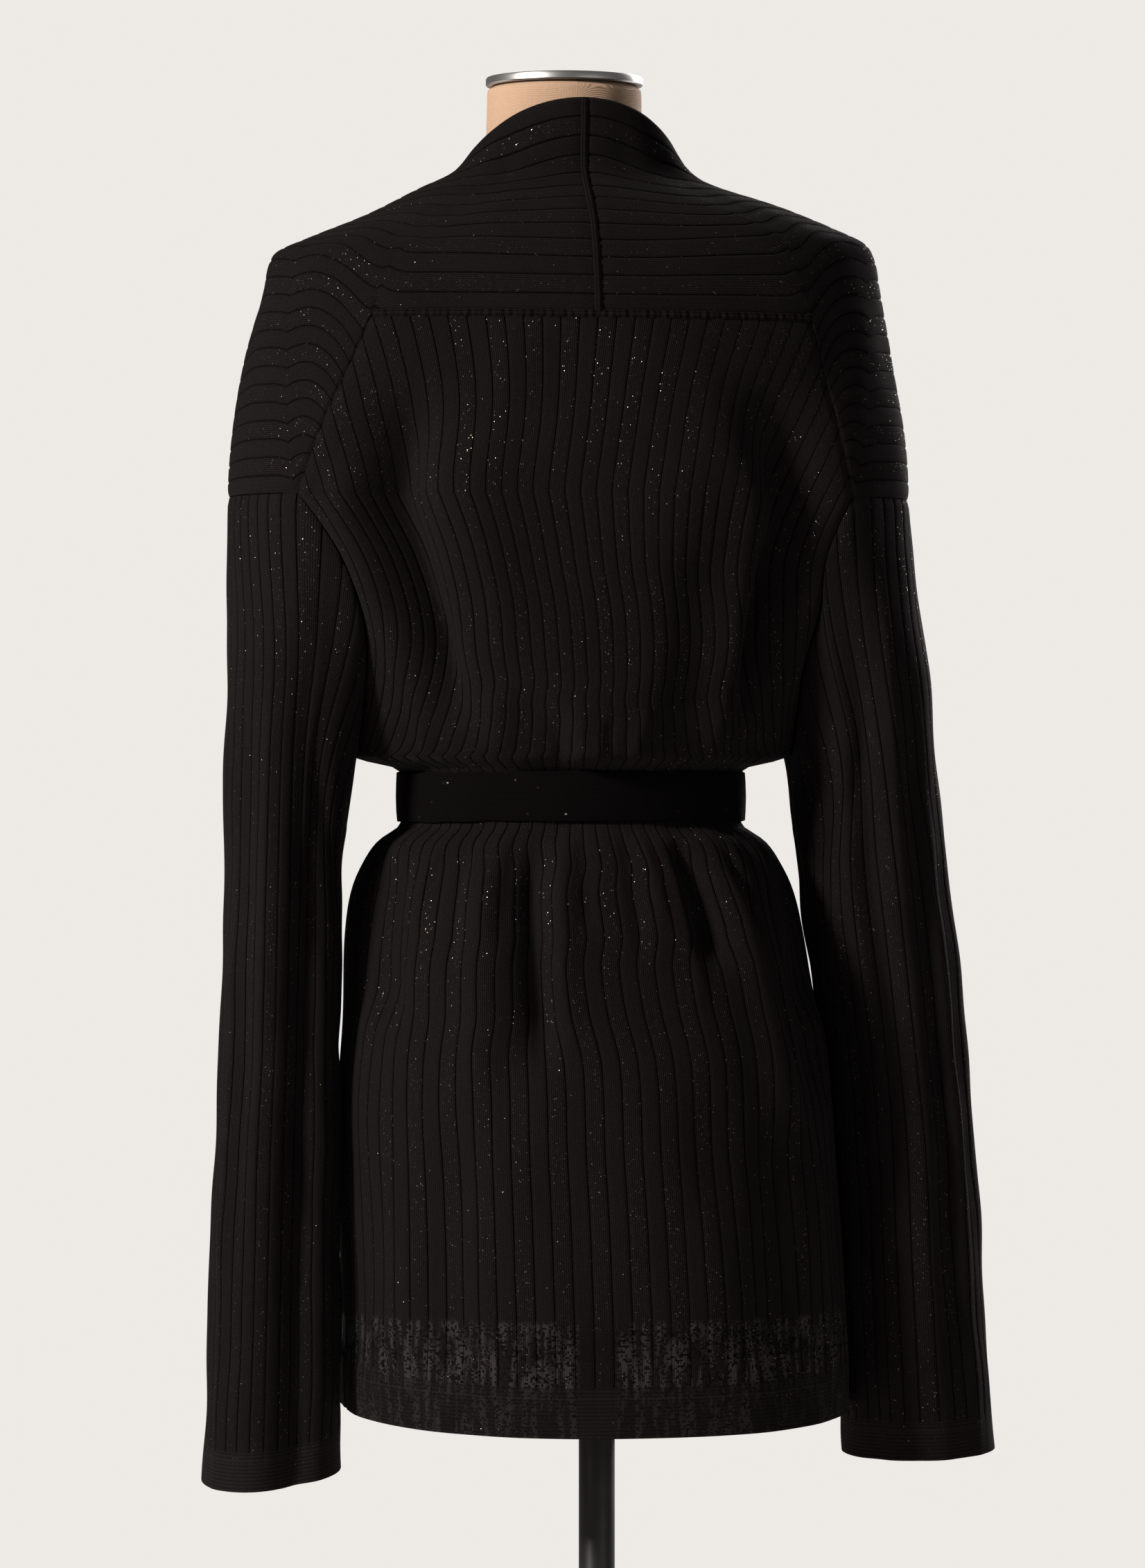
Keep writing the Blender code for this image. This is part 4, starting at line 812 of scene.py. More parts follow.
@dataclass
class Sleeve:
    """A hanging sleeve: a tube from the armhole and sleeve-head seam to the cuff."""

    side: Side
    sections: Table  # z, middle_x, middle_y, half_x, half_y
    folds: Table  # from_turn, to_turn, from_share, to_share, half width, rise; 0 outer, 90 back, 180 inner
    cuff: tuple[float, float, float]  # middle height, rise inward, rise backward
    hem: float = 0.027
    ribs: int = 31
    square: float = 2.15
    hold: float = 0.20  # share of the length over which the seam's shape is held
    even_by: float = 0.45  # share of the length at which the ribs are evenly spaced
    waved_by: float = 0.10  # share of the length at which the small waves are full
    flat: tuple[float, float] = (0.40, 0.66)
    area: float = 0.20
    waves: Table = ((2.0, 4.0, 0.8, 0.0008), (3.0, -7.0, 2.2, 0.0004), (5.0, 11.0, 4.1, 0.0002))

    def seam_point(self, place: Array) -> Array:
        """Top edge by rib number: up the back armhole (8), over the outer arm (15), down the front (8)."""
        heights = column(SHAPE.armhole, 0)
        back_turn = float(SHAPE.edge_turn(np.array(HEAD_Z), self.side))
        steps = np.array((0.0, 2.0, 4.0, 6.0, 8.0))
        z_back = np.interp(place, steps, heights)
        z_front = np.interp(self.ribs - place, steps, heights)
        head = back_turn + (180.0 - 2.0 * back_turn) * np.clip((place - 8.0) / 15.0, 0.0, 1.0)
        turn = np.where(place < 8.0, SHAPE.edge_turn(z_back, self.side), head)
        low = self.ribs - place < 8.0
        armhole = 180.0 - SHAPE.edge_turn(z_front, self.side)
        front_turn = np.where(z_front <= UNDERARM_Z + 1e-6, 90.0, armhole)
        turn = np.where(low, front_turn, turn)
        z = np.where(place < 8.0, z_back, np.where(low, z_front, HEAD_Z))
        return SHAPE.point(self.side.value * turn, z)

    def size(self, z: Array, index: int) -> Array:
        """A column of the section table at a height."""
        return smooth_table(z, column(self.sections, 0)[::-1], column(self.sections, index)[::-1])

    def section(self, angle: Array, z: Array) -> Array:
        """A point of the rounded-square section at an angle and a height."""
        bend = 2.0 / self.square
        x = self.side.value * (self.size(z, 1) + self.size(z, 3) * power(np.cos(angle), bend))
        y = self.size(z, 2) + self.size(z, 4) * power(np.sin(angle), bend)
        return np.stack((x, y, z), axis=-1)

    def top_angle(self, chain: Array) -> Array:
        """Angles of the top edge's points round the sleeve's middle, unwrapped."""
        sign = self.side.value
        middle = column(self.sections, 1)[1]
        return np.unwrap(np.arctan2(chain[:, 1], sign * (chain[:, 0] - sign * middle)))

    def cloth(self) -> Cloth:
        """Rows from the seam to the cuff: angle, height and place pass from the seam's to the section's.

        Returns:
            The sleeve as a ring of cloth, its folds and waves pushed out from the sleeve's middle.
        """
        sign = self.side.value
        place = np.arange(self.ribs * STEPS_PER_RIB) / STEPS_PER_RIB
        chain = self.seam_point(place)
        angle_top = self.top_angle(chain)
        coarse = self.top_angle(self.seam_point(np.arange(2 * self.ribs) / 2.0))
        even = coarse.mean() - 2.0 * math.pi / self.ribs * (place - (self.ribs - 0.5) / 2.0)
        share = np.linspace(0.0, 1.0, 125)[:, None]
        mix = ease(share / self.even_by)
        angle = angle_top * (1.0 - mix) + even * mix
        middle, inward, back = self.cuff
        foot = middle - inward * np.cos(angle) + back * np.sin(angle)
        z = chain[:, 2] + (foot - chain[:, 2]) * share
        held = (1.0 - ease(share / self.hold))[..., None]
        ground = self.section(angle, z) + held * (chain - self.section(angle_top, chain[:, 2]))
        rise = fold_sum(self.folds, np.degrees(angle) % 360.0, np.broadcast_to(share, angle.shape))
        rise = rise + ripple(self.waves, angle, share * 2.0 * math.pi) * ease(share / self.waved_by)
        outward = unit(ground[..., :2] - np.stack((sign * self.size(z, 1), self.size(z, 2)), axis=-1))
        ground[..., :2] += outward * rise[..., None]
        normals = grid_normals(ground, True, (sign * float(column(self.sections, 1)[1]), 0.0))
        wrapped = np.concatenate((ground, ground[:, :1]), axis=1)
        down = lengths(wrapped, 0)
        up = down[-1:] - down
        ribs = np.broadcast_to(np.append(place, float(self.ribs)), up.shape)
        plain = ease((self.hem - up[:, :-1]) / HEM_STEP)
        relief = rib_relief(ribs[:, :-1], ground, plain) + HEM_RAISE * plain - seam_dip(down[:, :-1])
        name = "sleeve_" + self.side.name.lower() + "_knit"
        return Cloth(name, ground, normals, relief, np.stack((ribs, up), -1), ring=True)


LEFT_SLEEVE = Sleeve(
    side=Side.LEFT,
    sections=(
        (1.250, 0.2040, -0.002, 0.0450, 0.078),
        (1.160, 0.2080, 0.004, 0.0430, 0.072),
        (1.076, 0.2143, 0.010, 0.0391, 0.066),
        (1.000, 0.2160, 0.012, 0.0385, 0.062),
        (0.903, 0.2174, 0.012, 0.0389, 0.058),
        (0.809, 0.2197, 0.012, 0.0418, 0.055),
        (0.696, 0.2218, 0.012, 0.0436, 0.054),
        (0.590, 0.2237, 0.012, 0.0455, 0.053),
    ),
    folds=(
        (110, 106, 0.02, 1.30, 27.0, -0.0160),
        (40, 44, 0.10, 0.85, 13.0, -0.0040),
        (128, 122, 0.20, 1.20, 13.0, 0.0040),
        (262, 268, 0.05, 1.20, 16.0, -0.0100),
        (310, 300, 0.20, 0.90, 13.0, -0.0040),
        (215, 225, 0.25, 1.10, 13.0, 0.0030),
        (62, 58, 0.10, 0.80, 6.0, 0.0016),
        (104, 100, 0.06, 0.60, 5.0, 0.0016),
        (20, 30, 0.30, 1.10, 7.0, 0.0018),
    ),
    cuff=(0.5950, 0.0050, -0.0060),
)
RIGHT_SLEEVE = Sleeve(
    side=Side.RIGHT,
    area=0.212,
    sections=(
        (1.250, 0.1740, -0.002, 0.0480, 0.078),
        (1.160, 0.1770, 0.004, 0.0480, 0.072),
        (1.076, 0.1842, 0.010, 0.0445, 0.066),
        (1.000, 0.1892, 0.012, 0.0500, 0.060),
        (0.909, 0.2000, 0.012, 0.0494, 0.056),
        (0.840, 0.2074, 0.012, 0.0486, 0.054),
        (0.724, 0.2136, 0.012, 0.0496, 0.052),
        (0.590, 0.2215, 0.012, 0.0506, 0.050),
    ),
    folds=(
        (112, 98, 0.04, 0.75, 11.0, -0.0080),
        (66, 70, 0.12, 0.95, 11.0, -0.0065),
        (40, 36, 0.25, 0.85, 12.0, -0.0040),
        (92, 84, 0.55, 1.25, 11.0, 0.0045),
        (255, 262, 0.05, 1.20, 15.0, -0.0100),
        (300, 296, 0.20, 0.90, 12.0, -0.0045),
        (140, 136, 0.30, 1.20, 12.0, -0.0040),
        (128, 118, 0.06, 0.50, 5.0, 0.0018),
        (84, 84, 0.05, 0.45, 5.0, 0.0018),
        (54, 52, 0.30, 1.10, 6.0, 0.0018),
    ),
    cuff=(0.6040, -0.0020, -0.0030),
)


# ------------------------------------------------------------------------------ seam rolls
@dataclass
class SeamRoll:
    """A raised roll of knit along a seam, flat against the cloth."""

    name: str
    width: float
    rise: float
    sink: float = 0.0012
    uneven: float = 0.0002

    def build(self, line: Array, outward: Array, material: bpy.types.Material) -> bpy.types.Object:
        """Carries a half ellipse along the line: across = width / 2 * cos, out = rise * sin^0.8 - sink.

        Args:
            line: (points, 3) along the seam, on the cloth's ground.
            outward: unit normals of the cloth there.
            material: the roll's finish.

        Returns:
            The roll.
        """
        ahead = unit(np.gradient(line, axis=0))
        across = unit(np.cross(ahead, outward))
        angle = np.linspace(0.0, 2.0 * math.pi, 17)[:-1]
        run = np.concatenate(([0.0], np.cumsum(np.linalg.norm(np.diff(line, axis=0), axis=1))))
        waves = np.sin(run * 900.0) + np.sin(run * 1370.0 + 1.0) + 0.8 * np.sin(run * 311.0 + 2.0)
        wobble = self.uneven * waves
        taper = np.clip(np.minimum(run, run[-1] - run) / 0.002, 0.25, 1.0)
        wide = 0.5 * self.width * np.cos(angle)
        out = np.where(np.sin(angle) >= 0.0, self.rise, self.sink) * power(np.sin(angle), 0.8)
        points = line[:, None] + across[:, None] * (wide * taper[:, None])[..., None]
        raised = (out + (wobble[:, None] * (out > 0.0))) * taper[:, None]
        points = points + outward[:, None] * raised[..., None]
        girth = np.linspace(0.0, self.width * 1.4, 17)
        cloth = np.stack(np.broadcast_arrays(run[:, None], girth[None]), axis=-1)
        surface = Surface()
        surface.tube(points, cloth, line[0])
        return surface.build(self.name, material, "knit")


# ------------------------------------------------------------------------------ belt
@dataclass
class Belt:
    """Flat knit tie belt: the band round the waist, its knot and its two hanging ends."""

    band_steps: int = 480
    knot: tuple[float, float, float] = (0.0200, 0.0090, 0.0165)
    end_width: float = 0.034
    end_thick: float = 0.0026
    # name, replaced node, middle's distance from the knot at the top and at the tip, tip's height
    ends: tuple[tuple[str, str, float, float, float], ...] = (
        ("belt_tail_left", "belt_end_left", 0.0180, 0.0270, 0.815),
        ("belt_tail_right", "belt_end_right", -0.0180, -0.0330, 0.790),
    )

    def ground(self, turn: Array, out: Array) -> Array:
        """Points on the waist cloth moved out, over the fronts' lap where they overlap."""
        z = np.full(np.shape(turn), 0.5 * (BELT_LOW + BELT_HIGH))
        plain = SHAPE.point(turn, z, folded=False)
        ahead = SHAPE.point(turn + 0.5, z, folded=False) - SHAPE.point(turn - 0.5, z, folded=False)
        normal = unit(np.cross(ahead, (0.0, 0.0, 1.0)))
        facing = np.sum(normal * (plain - np.array((LEAN, 0.0, 0.0))), axis=-1, keepdims=True)
        normal = normal * np.where(facing < 0.0, -1.0, 1.0)
        wrapped = (turn + 180.0) % 360.0 - 180.0
        lap = np.maximum(ease((np.abs(wrapped) - 160.0) / 8.0), ease((-wrapped - 145.0) / 20.0))
        return plain + normal * (out + LAP * lap)[..., None]

    def band(self, material: bpy.types.Material) -> bpy.types.Object:
        """The band: a rounded flat section carried round the waist, its edges and face a little uneven."""
        turn = np.linspace(-180.0, 180.0, self.band_steps + 1)[:-1][:, None]
        around = np.linspace(0.0, 2.0 * math.pi, 33)[:-1][None]
        half = 0.5 * (BELT_HIGH - BELT_LOW)
        up = half * power(np.sin(around), 0.35)
        face = np.cos(around) > 0.0
        bulge = BELT_THICK * (0.62 + 0.38 * (1.0 - (up / half) ** 2))
        out = BELT_CLEAR + np.where(face, bulge, 0.0) * np.minimum(np.abs(np.cos(around)) * 3.0, 1.0)
        angle = np.radians(turn)
        waves = 0.00035 * np.sin(9 * angle + 1) + 0.00028 * np.sin(23 * angle) * np.sin(around)
        points = self.ground(np.broadcast_to(turn, (len(turn), out.shape[1])), out + waves * face)
        edge = 1.0 + 0.018 * np.sin(7 * angle + 0.5) + 0.012 * np.sin(19 * angle)
        points[..., 2] = 0.5 * (BELT_LOW + BELT_HIGH) + up * edge
        points[..., 2] += 0.0006 * np.sin(3 * angle + 0.8)
        run = np.linspace(0.0, 0.66, self.band_steps + 1)[:, None]
        girth = lengths(np.concatenate((points[:1], points[:1, :1]), axis=1), 1)
        cloth = np.stack(np.broadcast_arrays(run, girth), axis=-1)
        surface = Surface()
        closed = np.concatenate((points, points[:1]), axis=0)
        ids = surface.grid(closed[:-1], cloth[:-1], ring=True)
        last = surface.corners + np.arange(ids.shape[1])
        surface.vertex.append(np.concatenate(surface.vertex)[ids[0]])
        surface.cloth.append(cloth[-1])
        surface.corners += ids.shape[1]
        ids = np.concatenate((ids, last[None]), axis=0)
        middle = closed[0].mean(axis=0)
        turned = np.cross(points[0, 1] - points[0, 0], points[1, 0] - points[0, 0]) @ (points[0, 0] - middle)
        surface.fill(ids, float(turned) < 0.0)
        piece = surface.build("belt_band", material, "belt_knit")
        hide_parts("belt")
        return piece

    def tie(self, material: bpy.types.Material) -> bpy.types.Object:
        """The knot: a rounded block; its wraps are slanted grooves, depth * exp(-(across / 2.6 mm)^2)."""
        low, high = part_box("belt_knot")
        middle = np.array((low + high) / 2.0)
        a = np.linspace(0.0, 2.0 * math.pi, 97)[:-1][None]
        b = np.linspace(-0.5 * math.pi, 0.5 * math.pi, 51)[1:-1][:, None]
        ring = power(np.cos(b), 0.55)
        x = self.knot[0] * power(np.cos(a), 0.6) * ring
        y = self.knot[1] * power(np.sin(a), 0.7) * ring
        z = self.knot[2] * power(np.sin(b), 0.7) * np.ones_like(a)
        rise = np.zeros_like(x)
        for slope, offset, depth in ((0.25, 0.0105, 0.0013), (0.25, -0.0105, 0.0013), (-0.9, 0.002, 0.0007)):
            rise -= depth * np.exp(-(((x - slope * z - offset) / 0.0026) ** 2))
        rise += 0.0004 * np.sin(x * 900.0 + z * 240.0)
        points = np.stack((x, y, z), axis=-1)
        points = points + unit(points) * rise[..., None] + middle
        girth = np.linspace(0.0, 0.12, 97)[None, :-1]
        cloth = np.stack(np.broadcast_arrays(z + 0.02, girth), -1)
        cloth = np.concatenate((cloth, cloth[:, :1] + np.array((0.0, 0.12))), axis=1)
        surface = Surface()
        surface.tube(points, cloth, middle, row=20)
        piece = surface.build("belt_tie", material, "belt_knit")
        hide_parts("belt_knot")
        return piece

    def tail(self, name: str, node: str, top_x: float, tip_x: float, tip_z: float) -> Cloth:
        """A hanging end: a strip narrower at the knot, with a shallow wave down its length."""
        face = self.ground(np.array([180.0]), np.array([BELT_CLEAR + BELT_THICK]))[0]
        knot_low = 0.5 * (BELT_LOW + BELT_HIGH) - self.knot[2]
        share = np.linspace(0.0, 1.0, 121)
        z = knot_low - 0.0004 + (tip_z - knot_low) * share
        middle = face[0] + top_x + (tip_x - top_x) * ease(share * 1.6)
        turn = 180.0 - np.degrees(np.arcsin((middle - SHAPE.lean(z)) / SHAPE.half(z)))
        coarse = np.linspace(0, len(share) - 1, 9).astype(int)
        depth = np.minimum(SHAPE.point(turn, z)[:, 1], face[1] - 0.0050) - 0.0082
        depth = smooth_table(share, share[coarse], depth[coarse])
        across = np.linspace(-0.5, 0.5, 33)
        width = self.end_width * (0.74 + 0.26 * ease(share / 0.18))
        x = middle[:, None] + across * width[:, None]
        down = share[:, None]
        wave = 0.0007 * np.sin(down * 11.0 + across * 3.0) * ease(down * 3.0)
        y = depth[:, None] - self.end_thick - wave
        ground = np.stack(np.broadcast_arrays(x, y, z[:, None]), axis=-1)
        normals = grid_normals(ground, False, (LEAN, 0.0))
        run = lengths(ground, 0)
        wide = lengths(ground, 1)
        edge = np.minimum(wide, wide[:, -1:] - wide)
        tip = run[-1:] - run
        relief = -0.0009 * np.exp(-((edge / 0.0014) ** 2)) - 0.0009 * np.exp(-((tip / 0.0014) ** 2))
        return Cloth(name, ground, normals, relief, np.stack((run, wide), -1), thick=self.end_thick * 0.8)

    def build(self, material: bpy.types.Material) -> list[bpy.types.Object]:
        """Builds every piece of the belt."""
        band, tie = self.band(material), self.tie(material)
        pieces = [band, tie]
        for name, node, top_x, tip_x, tip_z in self.ends:
            tail = self.tail(name, node, top_x, tip_x, tip_z)
            piece = tail.build(material, "belt_knit")
            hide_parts(node)
            pieces.append(piece)
        return pieces


# ------------------------------------------------------------------------------ dress form and stand
# radius and height of the turned pieces
CAP_PROFILE: Table = (
    (0.0500, 1.5323), (0.0528, 1.5326), (0.0535, 1.5334),
    (0.0535, 1.5372), (0.0529, 1.5381), (0.0515, 1.5383),
)
POLE_PROFILE: Table = (
    (0.0117, 0.0083), (0.0122, 0.0088), (0.0122, 0.3500), (0.0122, 0.6941), (0.0117, 0.6947),
)
BASE_PROFILE: Table = (
    (0.1870, 0.0), (0.1893, 0.0006), (0.1900, 0.0020), (0.1900, 0.0056),
    (0.1888, 0.0074), (0.1860, 0.0080), (0.0900, 0.0080),
)


@dataclass
class DressForm:
    """Linen bust with a metal neck cap on a black pole and round base."""

    inset: float = 0.0006  # the fine form is this much inside the solid's corners
    edge_radius: float = 0.004
    # z, half width, depth to the back, depth to the front, middle y, squareness
    sections: Table = (
        (0.6950, 0.1380, 0.1020, 0.1000, 0.000, 2.30),
        (0.7200, 0.1460, 0.1120, 0.1080, 0.000, 2.30),
        (0.7800, 0.1490, 0.1180, 0.1100, 0.000, 2.30),
        (0.8600, 0.1480, 0.1190, 0.1080, 0.000, 2.30),
        (0.9400, 0.1380, 0.1020, 0.1000, 0.000, 2.25),
        (1.0000, 0.1180, 0.0880, 0.0920, 0.000, 2.20),
        (1.0480, 0.1080, 0.0850, 0.0880, 0.000, 2.15),
        (1.1200, 0.1160, 0.0860, 0.0980, 0.000, 2.20),
        (1.2000, 0.1340, 0.0930, 0.1230, 0.000, 2.20),
        (1.2800, 0.1500, 0.0990, 0.1200, 0.000, 2.20),
        (1.3400, 0.1640, 0.1045, 0.0980, 0.000, 2.20),
        (1.3800, 0.1800, 0.1037, 0.0880, 0.000, 2.20),
        (1.4000, 0.1890, 0.0985, 0.0810, 0.000, 2.20),
        (1.4170, 0.1745, 0.0892, 0.0750, 0.000, 2.15),
        (1.4390, 0.1330, 0.0735, 0.0670, -0.001, 2.10),
        (1.4570, 0.0800, 0.0480, 0.0560, -0.010, 2.05),
        (1.4720, 0.0590, 0.0420, 0.0500, -0.021, 2.00),
        (1.4950, 0.0540, 0.0540, 0.0540, NECK_Y, 2.00),
        (1.5320, 0.0530, 0.0530, 0.0530, NECK_Y, 2.00),
    )

    def bust(self, material: bpy.types.Material) -> bpy.types.Object:
        """The bust: sections of the table, with a rounded edge at the neck's top and at the underside."""
        z = np.concatenate((np.linspace(0.6950, 1.38, 110), np.linspace(1.38, 1.5320, 60)[1:]))
        stations = column(self.sections, 0)
        half, back, front, middle, square = (
            smooth_table(z, stations, column(self.sections, k))[:, None] for k in range(1, 6)
        )
        angle = np.linspace(0.0, 2.0 * math.pi, 193)[:-1][None]
        bend = 2.0 / square
        near_end = np.minimum(z - z[0], z[-1] - z)[:, None]
        in_arc = 1.0 - np.clip(near_end / self.edge_radius, 0.0, 1.0)
        rounding = self.edge_radius * (1.0 - np.sqrt(np.clip(1.0 - in_arc**2, 0.0, 1.0)))
        less = self.inset + rounding
        depth = np.where(np.cos(angle) >= 0.0, back, front) - less
        x = (half - less) * power(np.sin(angle), bend)
        y = middle + depth * power(np.cos(angle), bend)
        height = z[:, None] + shoulder_tilt(x, z[:, None])
        points = np.stack((x + SHAPE.lean(z)[:, None], y, height), axis=-1)
        wrapped = np.concatenate((points, points[:, :1]), axis=1)
        cloth = np.stack((lengths(wrapped, 1), lengths(wrapped, 0)), axis=-1)
        surface = Surface()
        surface.tube(points, cloth, points[60].mean(axis=0), row=60)
        piece = surface.build("bust", material, "linen")
        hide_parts("form_torso")
        return piece

    def turned_piece(
        self,
        name: str,
        node: str,
        profile: Table,
        middle: tuple[float, float],
        material: bpy.types.Material,
        slot: str,
    ) -> bpy.types.Object:
        """Turns a profile of radius and height round an upright axis, closed at both ends."""
        radius, z = column(profile, 0)[:, None], column(profile, 1)[:, None]
        angle = np.linspace(0.0, 2.0 * math.pi, 97)[:-1][None]
        x, y = middle[0] + radius * np.cos(angle), middle[1] + radius * np.sin(angle)
        points = np.stack(np.broadcast_arrays(x, y, z), -1)
        cloth = np.stack(np.broadcast_arrays(np.linspace(0.0, 1.0, 97)[None], z), axis=-1)
        surface = Surface()
        surface.tube(points, cloth, points[0].mean(axis=0))
        piece = surface.build(name, material, slot, sharp=40.0)
        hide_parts(node)
        return piece

    def build(self, linen: bpy.types.Material, steel: bpy.types.Material, paint: bpy.types.Material) -> None:
        """Builds bust, cap, pole and base."""
        self.bust(linen)
        self.turned_piece("neck_plate", "neck_cap", CAP_PROFILE, (LEAN, NECK_Y), steel, "steel")
        self.turned_piece("stand_pole", "pole", POLE_PROFILE, (0.0, 0.0), paint, "black_steel")
        self.turned_piece("stand_base", "base", BASE_PROFILE, (0.0, 0.0), paint, "black_steel")


# ------------------------------------------------------------------------------ shader maths
class Value:
    """A number that varies over a surface: one socket, with the usual operators."""

    def __init__(self, graph: "Graph", socket: bpy.types.NodeSocket) -> None:
        self.graph, self.socket = graph, socket

    def sum_with(self, operation: str, *others: "Value | float") -> "Value":
        """A Math node of this value and others."""
        inputs = {i: v for i, v in enumerate((self, *others))}
        node = self.graph.node("ShaderNodeMath", {"operation": operation}, inputs)
        return Value(self.graph, node.outputs[0])

    def __add__(self, other: "Value | float") -> "Value":
        """Sum."""
        return self.sum_with("ADD", other)

    __radd__ = __add__

    def __mul__(self, other: "Value | float") -> "Value":
        """Product."""
        return self.sum_with("MULTIPLY", other)

    __rmul__ = __mul__

    def __sub__(self, other: "Value | float") -> "Value":
        """Difference."""
        return self.sum_with("SUBTRACT", other)

    def __rsub__(self, other: float) -> "Value":
        """Difference from a number."""
        node = self.graph.node("ShaderNodeMath", {"operation": "SUBTRACT"}, {0: other, 1: self})
        return Value(self.graph, node.outputs[0])

    def __truediv__(self, other: "Value | float") -> "Value":
        """Quotient."""
        return self.sum_with("DIVIDE", other)

    def __pow__(self, other: float) -> "Value":
        """Power."""
        return self.sum_with("POWER", other)

    def __abs__(self) -> "Value":
        """Size without its sign."""
        return self.sum_with("ABSOLUTE")

    def floor(self) -> "Value":
        """Whole number below."""
        return self.sum_with("FLOOR")

    def part(self) -> "Value":
        """What is left over the whole number below."""
        return self.sum_with("FRACT")

    def over(self, limit: "Value | float") -> "Value":
        """1 above a limit, else 0."""
        return self.sum_with("GREATER_THAN", limit)

    def step(self, low: float, high: float) -> "Value":
        """Smooth step from 0 at low to 1 at high."""
        settings = {"interpolation_type": "SMOOTHSTEP"}
        inputs = {"Value": self, "From Min": low, "From Max": high}
        node = self.graph.node("ShaderNodeMapRange", settings, inputs)
        return Value(self.graph, node.outputs[0])


class Graph:
    """The nodes of one material."""

    def __init__(self, name: str) -> None:
        self.material = bpy.data.materials.new(name)
        self.material.use_nodes = True
        self.tree = self.material.node_tree
        self.tree.nodes.clear()

    def node(self, kind: str, settings: dict | None = None, inputs: dict | None = None) -> bpy.types.Node:
        """Adds a node.

        Args:
            kind: its type.
            settings: its own settings, set first.
            inputs: values or links of its sockets, by name or number.

        Returns:
            The node.
        """
        made = self.tree.nodes.new(kind)
        for key, value in (settings or {}).items():
            setattr(made, key, value)
        for key, value in (inputs or {}).items():
            socket = made.inputs[key]
            if isinstance(value, (Value, bpy.types.NodeSocket)):
                self.tree.links.new(value.socket if isinstance(value, Value) else value, socket)
            else:
                socket.default_value = value
        return made

    def cloth(self) -> tuple[Value, Value]:
        """The piece's two cloth coordinates."""
        uv = self.node("ShaderNodeUVMap", {"uv_map": "cloth"})
        parts = self.node("ShaderNodeSeparateXYZ", None, {0: uv.outputs[0]})
        return Value(self, parts.outputs[0]), Value(self, parts.outputs[1])

    def place(self) -> tuple[bpy.types.NodeSocket, Value]:
        """Object coordinates, and the height among them."""
        socket = self.node("ShaderNodeTexCoord").outputs["Object"]
        return socket, Value(self, self.node("ShaderNodeSeparateXYZ", None, {0: socket}).outputs[2])

    def join(self, x: Value | float, y: Value | float, z: Value | float = 0.0) -> bpy.types.NodeSocket:
        """A vector of three numbers."""
        return self.node("ShaderNodeCombineXYZ", None, {0: x, 1: y, 2: z}).outputs[0]

    def chance(self, vector: bpy.types.NodeSocket) -> Value:
        """A fixed random number from 0 to 1 for each place."""
        node = self.node("ShaderNodeTexWhiteNoise", {"noise_dimensions": "3D"}, {0: vector})
        return Value(self, node.outputs[0])

    def noise(self, vector: bpy.types.NodeSocket, scale: float, detail: float = 2.0) -> Value:
        """Soft noise from 0 to 1."""
        made = self.node("ShaderNodeTexNoise", None, {"Vector": vector, "Scale": scale, "Detail": detail})
        return Value(self, made.outputs[0])

    def blend(self, share: Value, low: Colour, high: Colour) -> bpy.types.NodeSocket:
        """Colour between two colours."""
        low, high = ((*c, 1.0) if isinstance(c, tuple) else c for c in (low, high))
        made = self.node("ShaderNodeMix", {"data_type": "RGBA"}, {0: share, 6: low, 7: high})
        return made.outputs[2]

    def finish(self, height: Value | None, depth: float, inputs: dict) -> bpy.types.Material:
        """Adds the shader, its relief and the output.

        Args:
            height: relief from 0 to 1, or None for a smooth surface.
            depth: metres that a height of 1 stands for.
            inputs: sockets of the shader.

        Returns:
            The material.
        """
        if height is not None:
            bump = self.node("ShaderNodeBump", None, {"Strength": 1.0, "Distance": depth, "Height": height})
            inputs = {**inputs, "Normal": bump.outputs[0]}
        shader = self.node("ShaderNodeBsdfPrincipled", None, inputs)
        self.node("ShaderNodeOutputMaterial", None, {0: shader.outputs[0]})
        return self.material


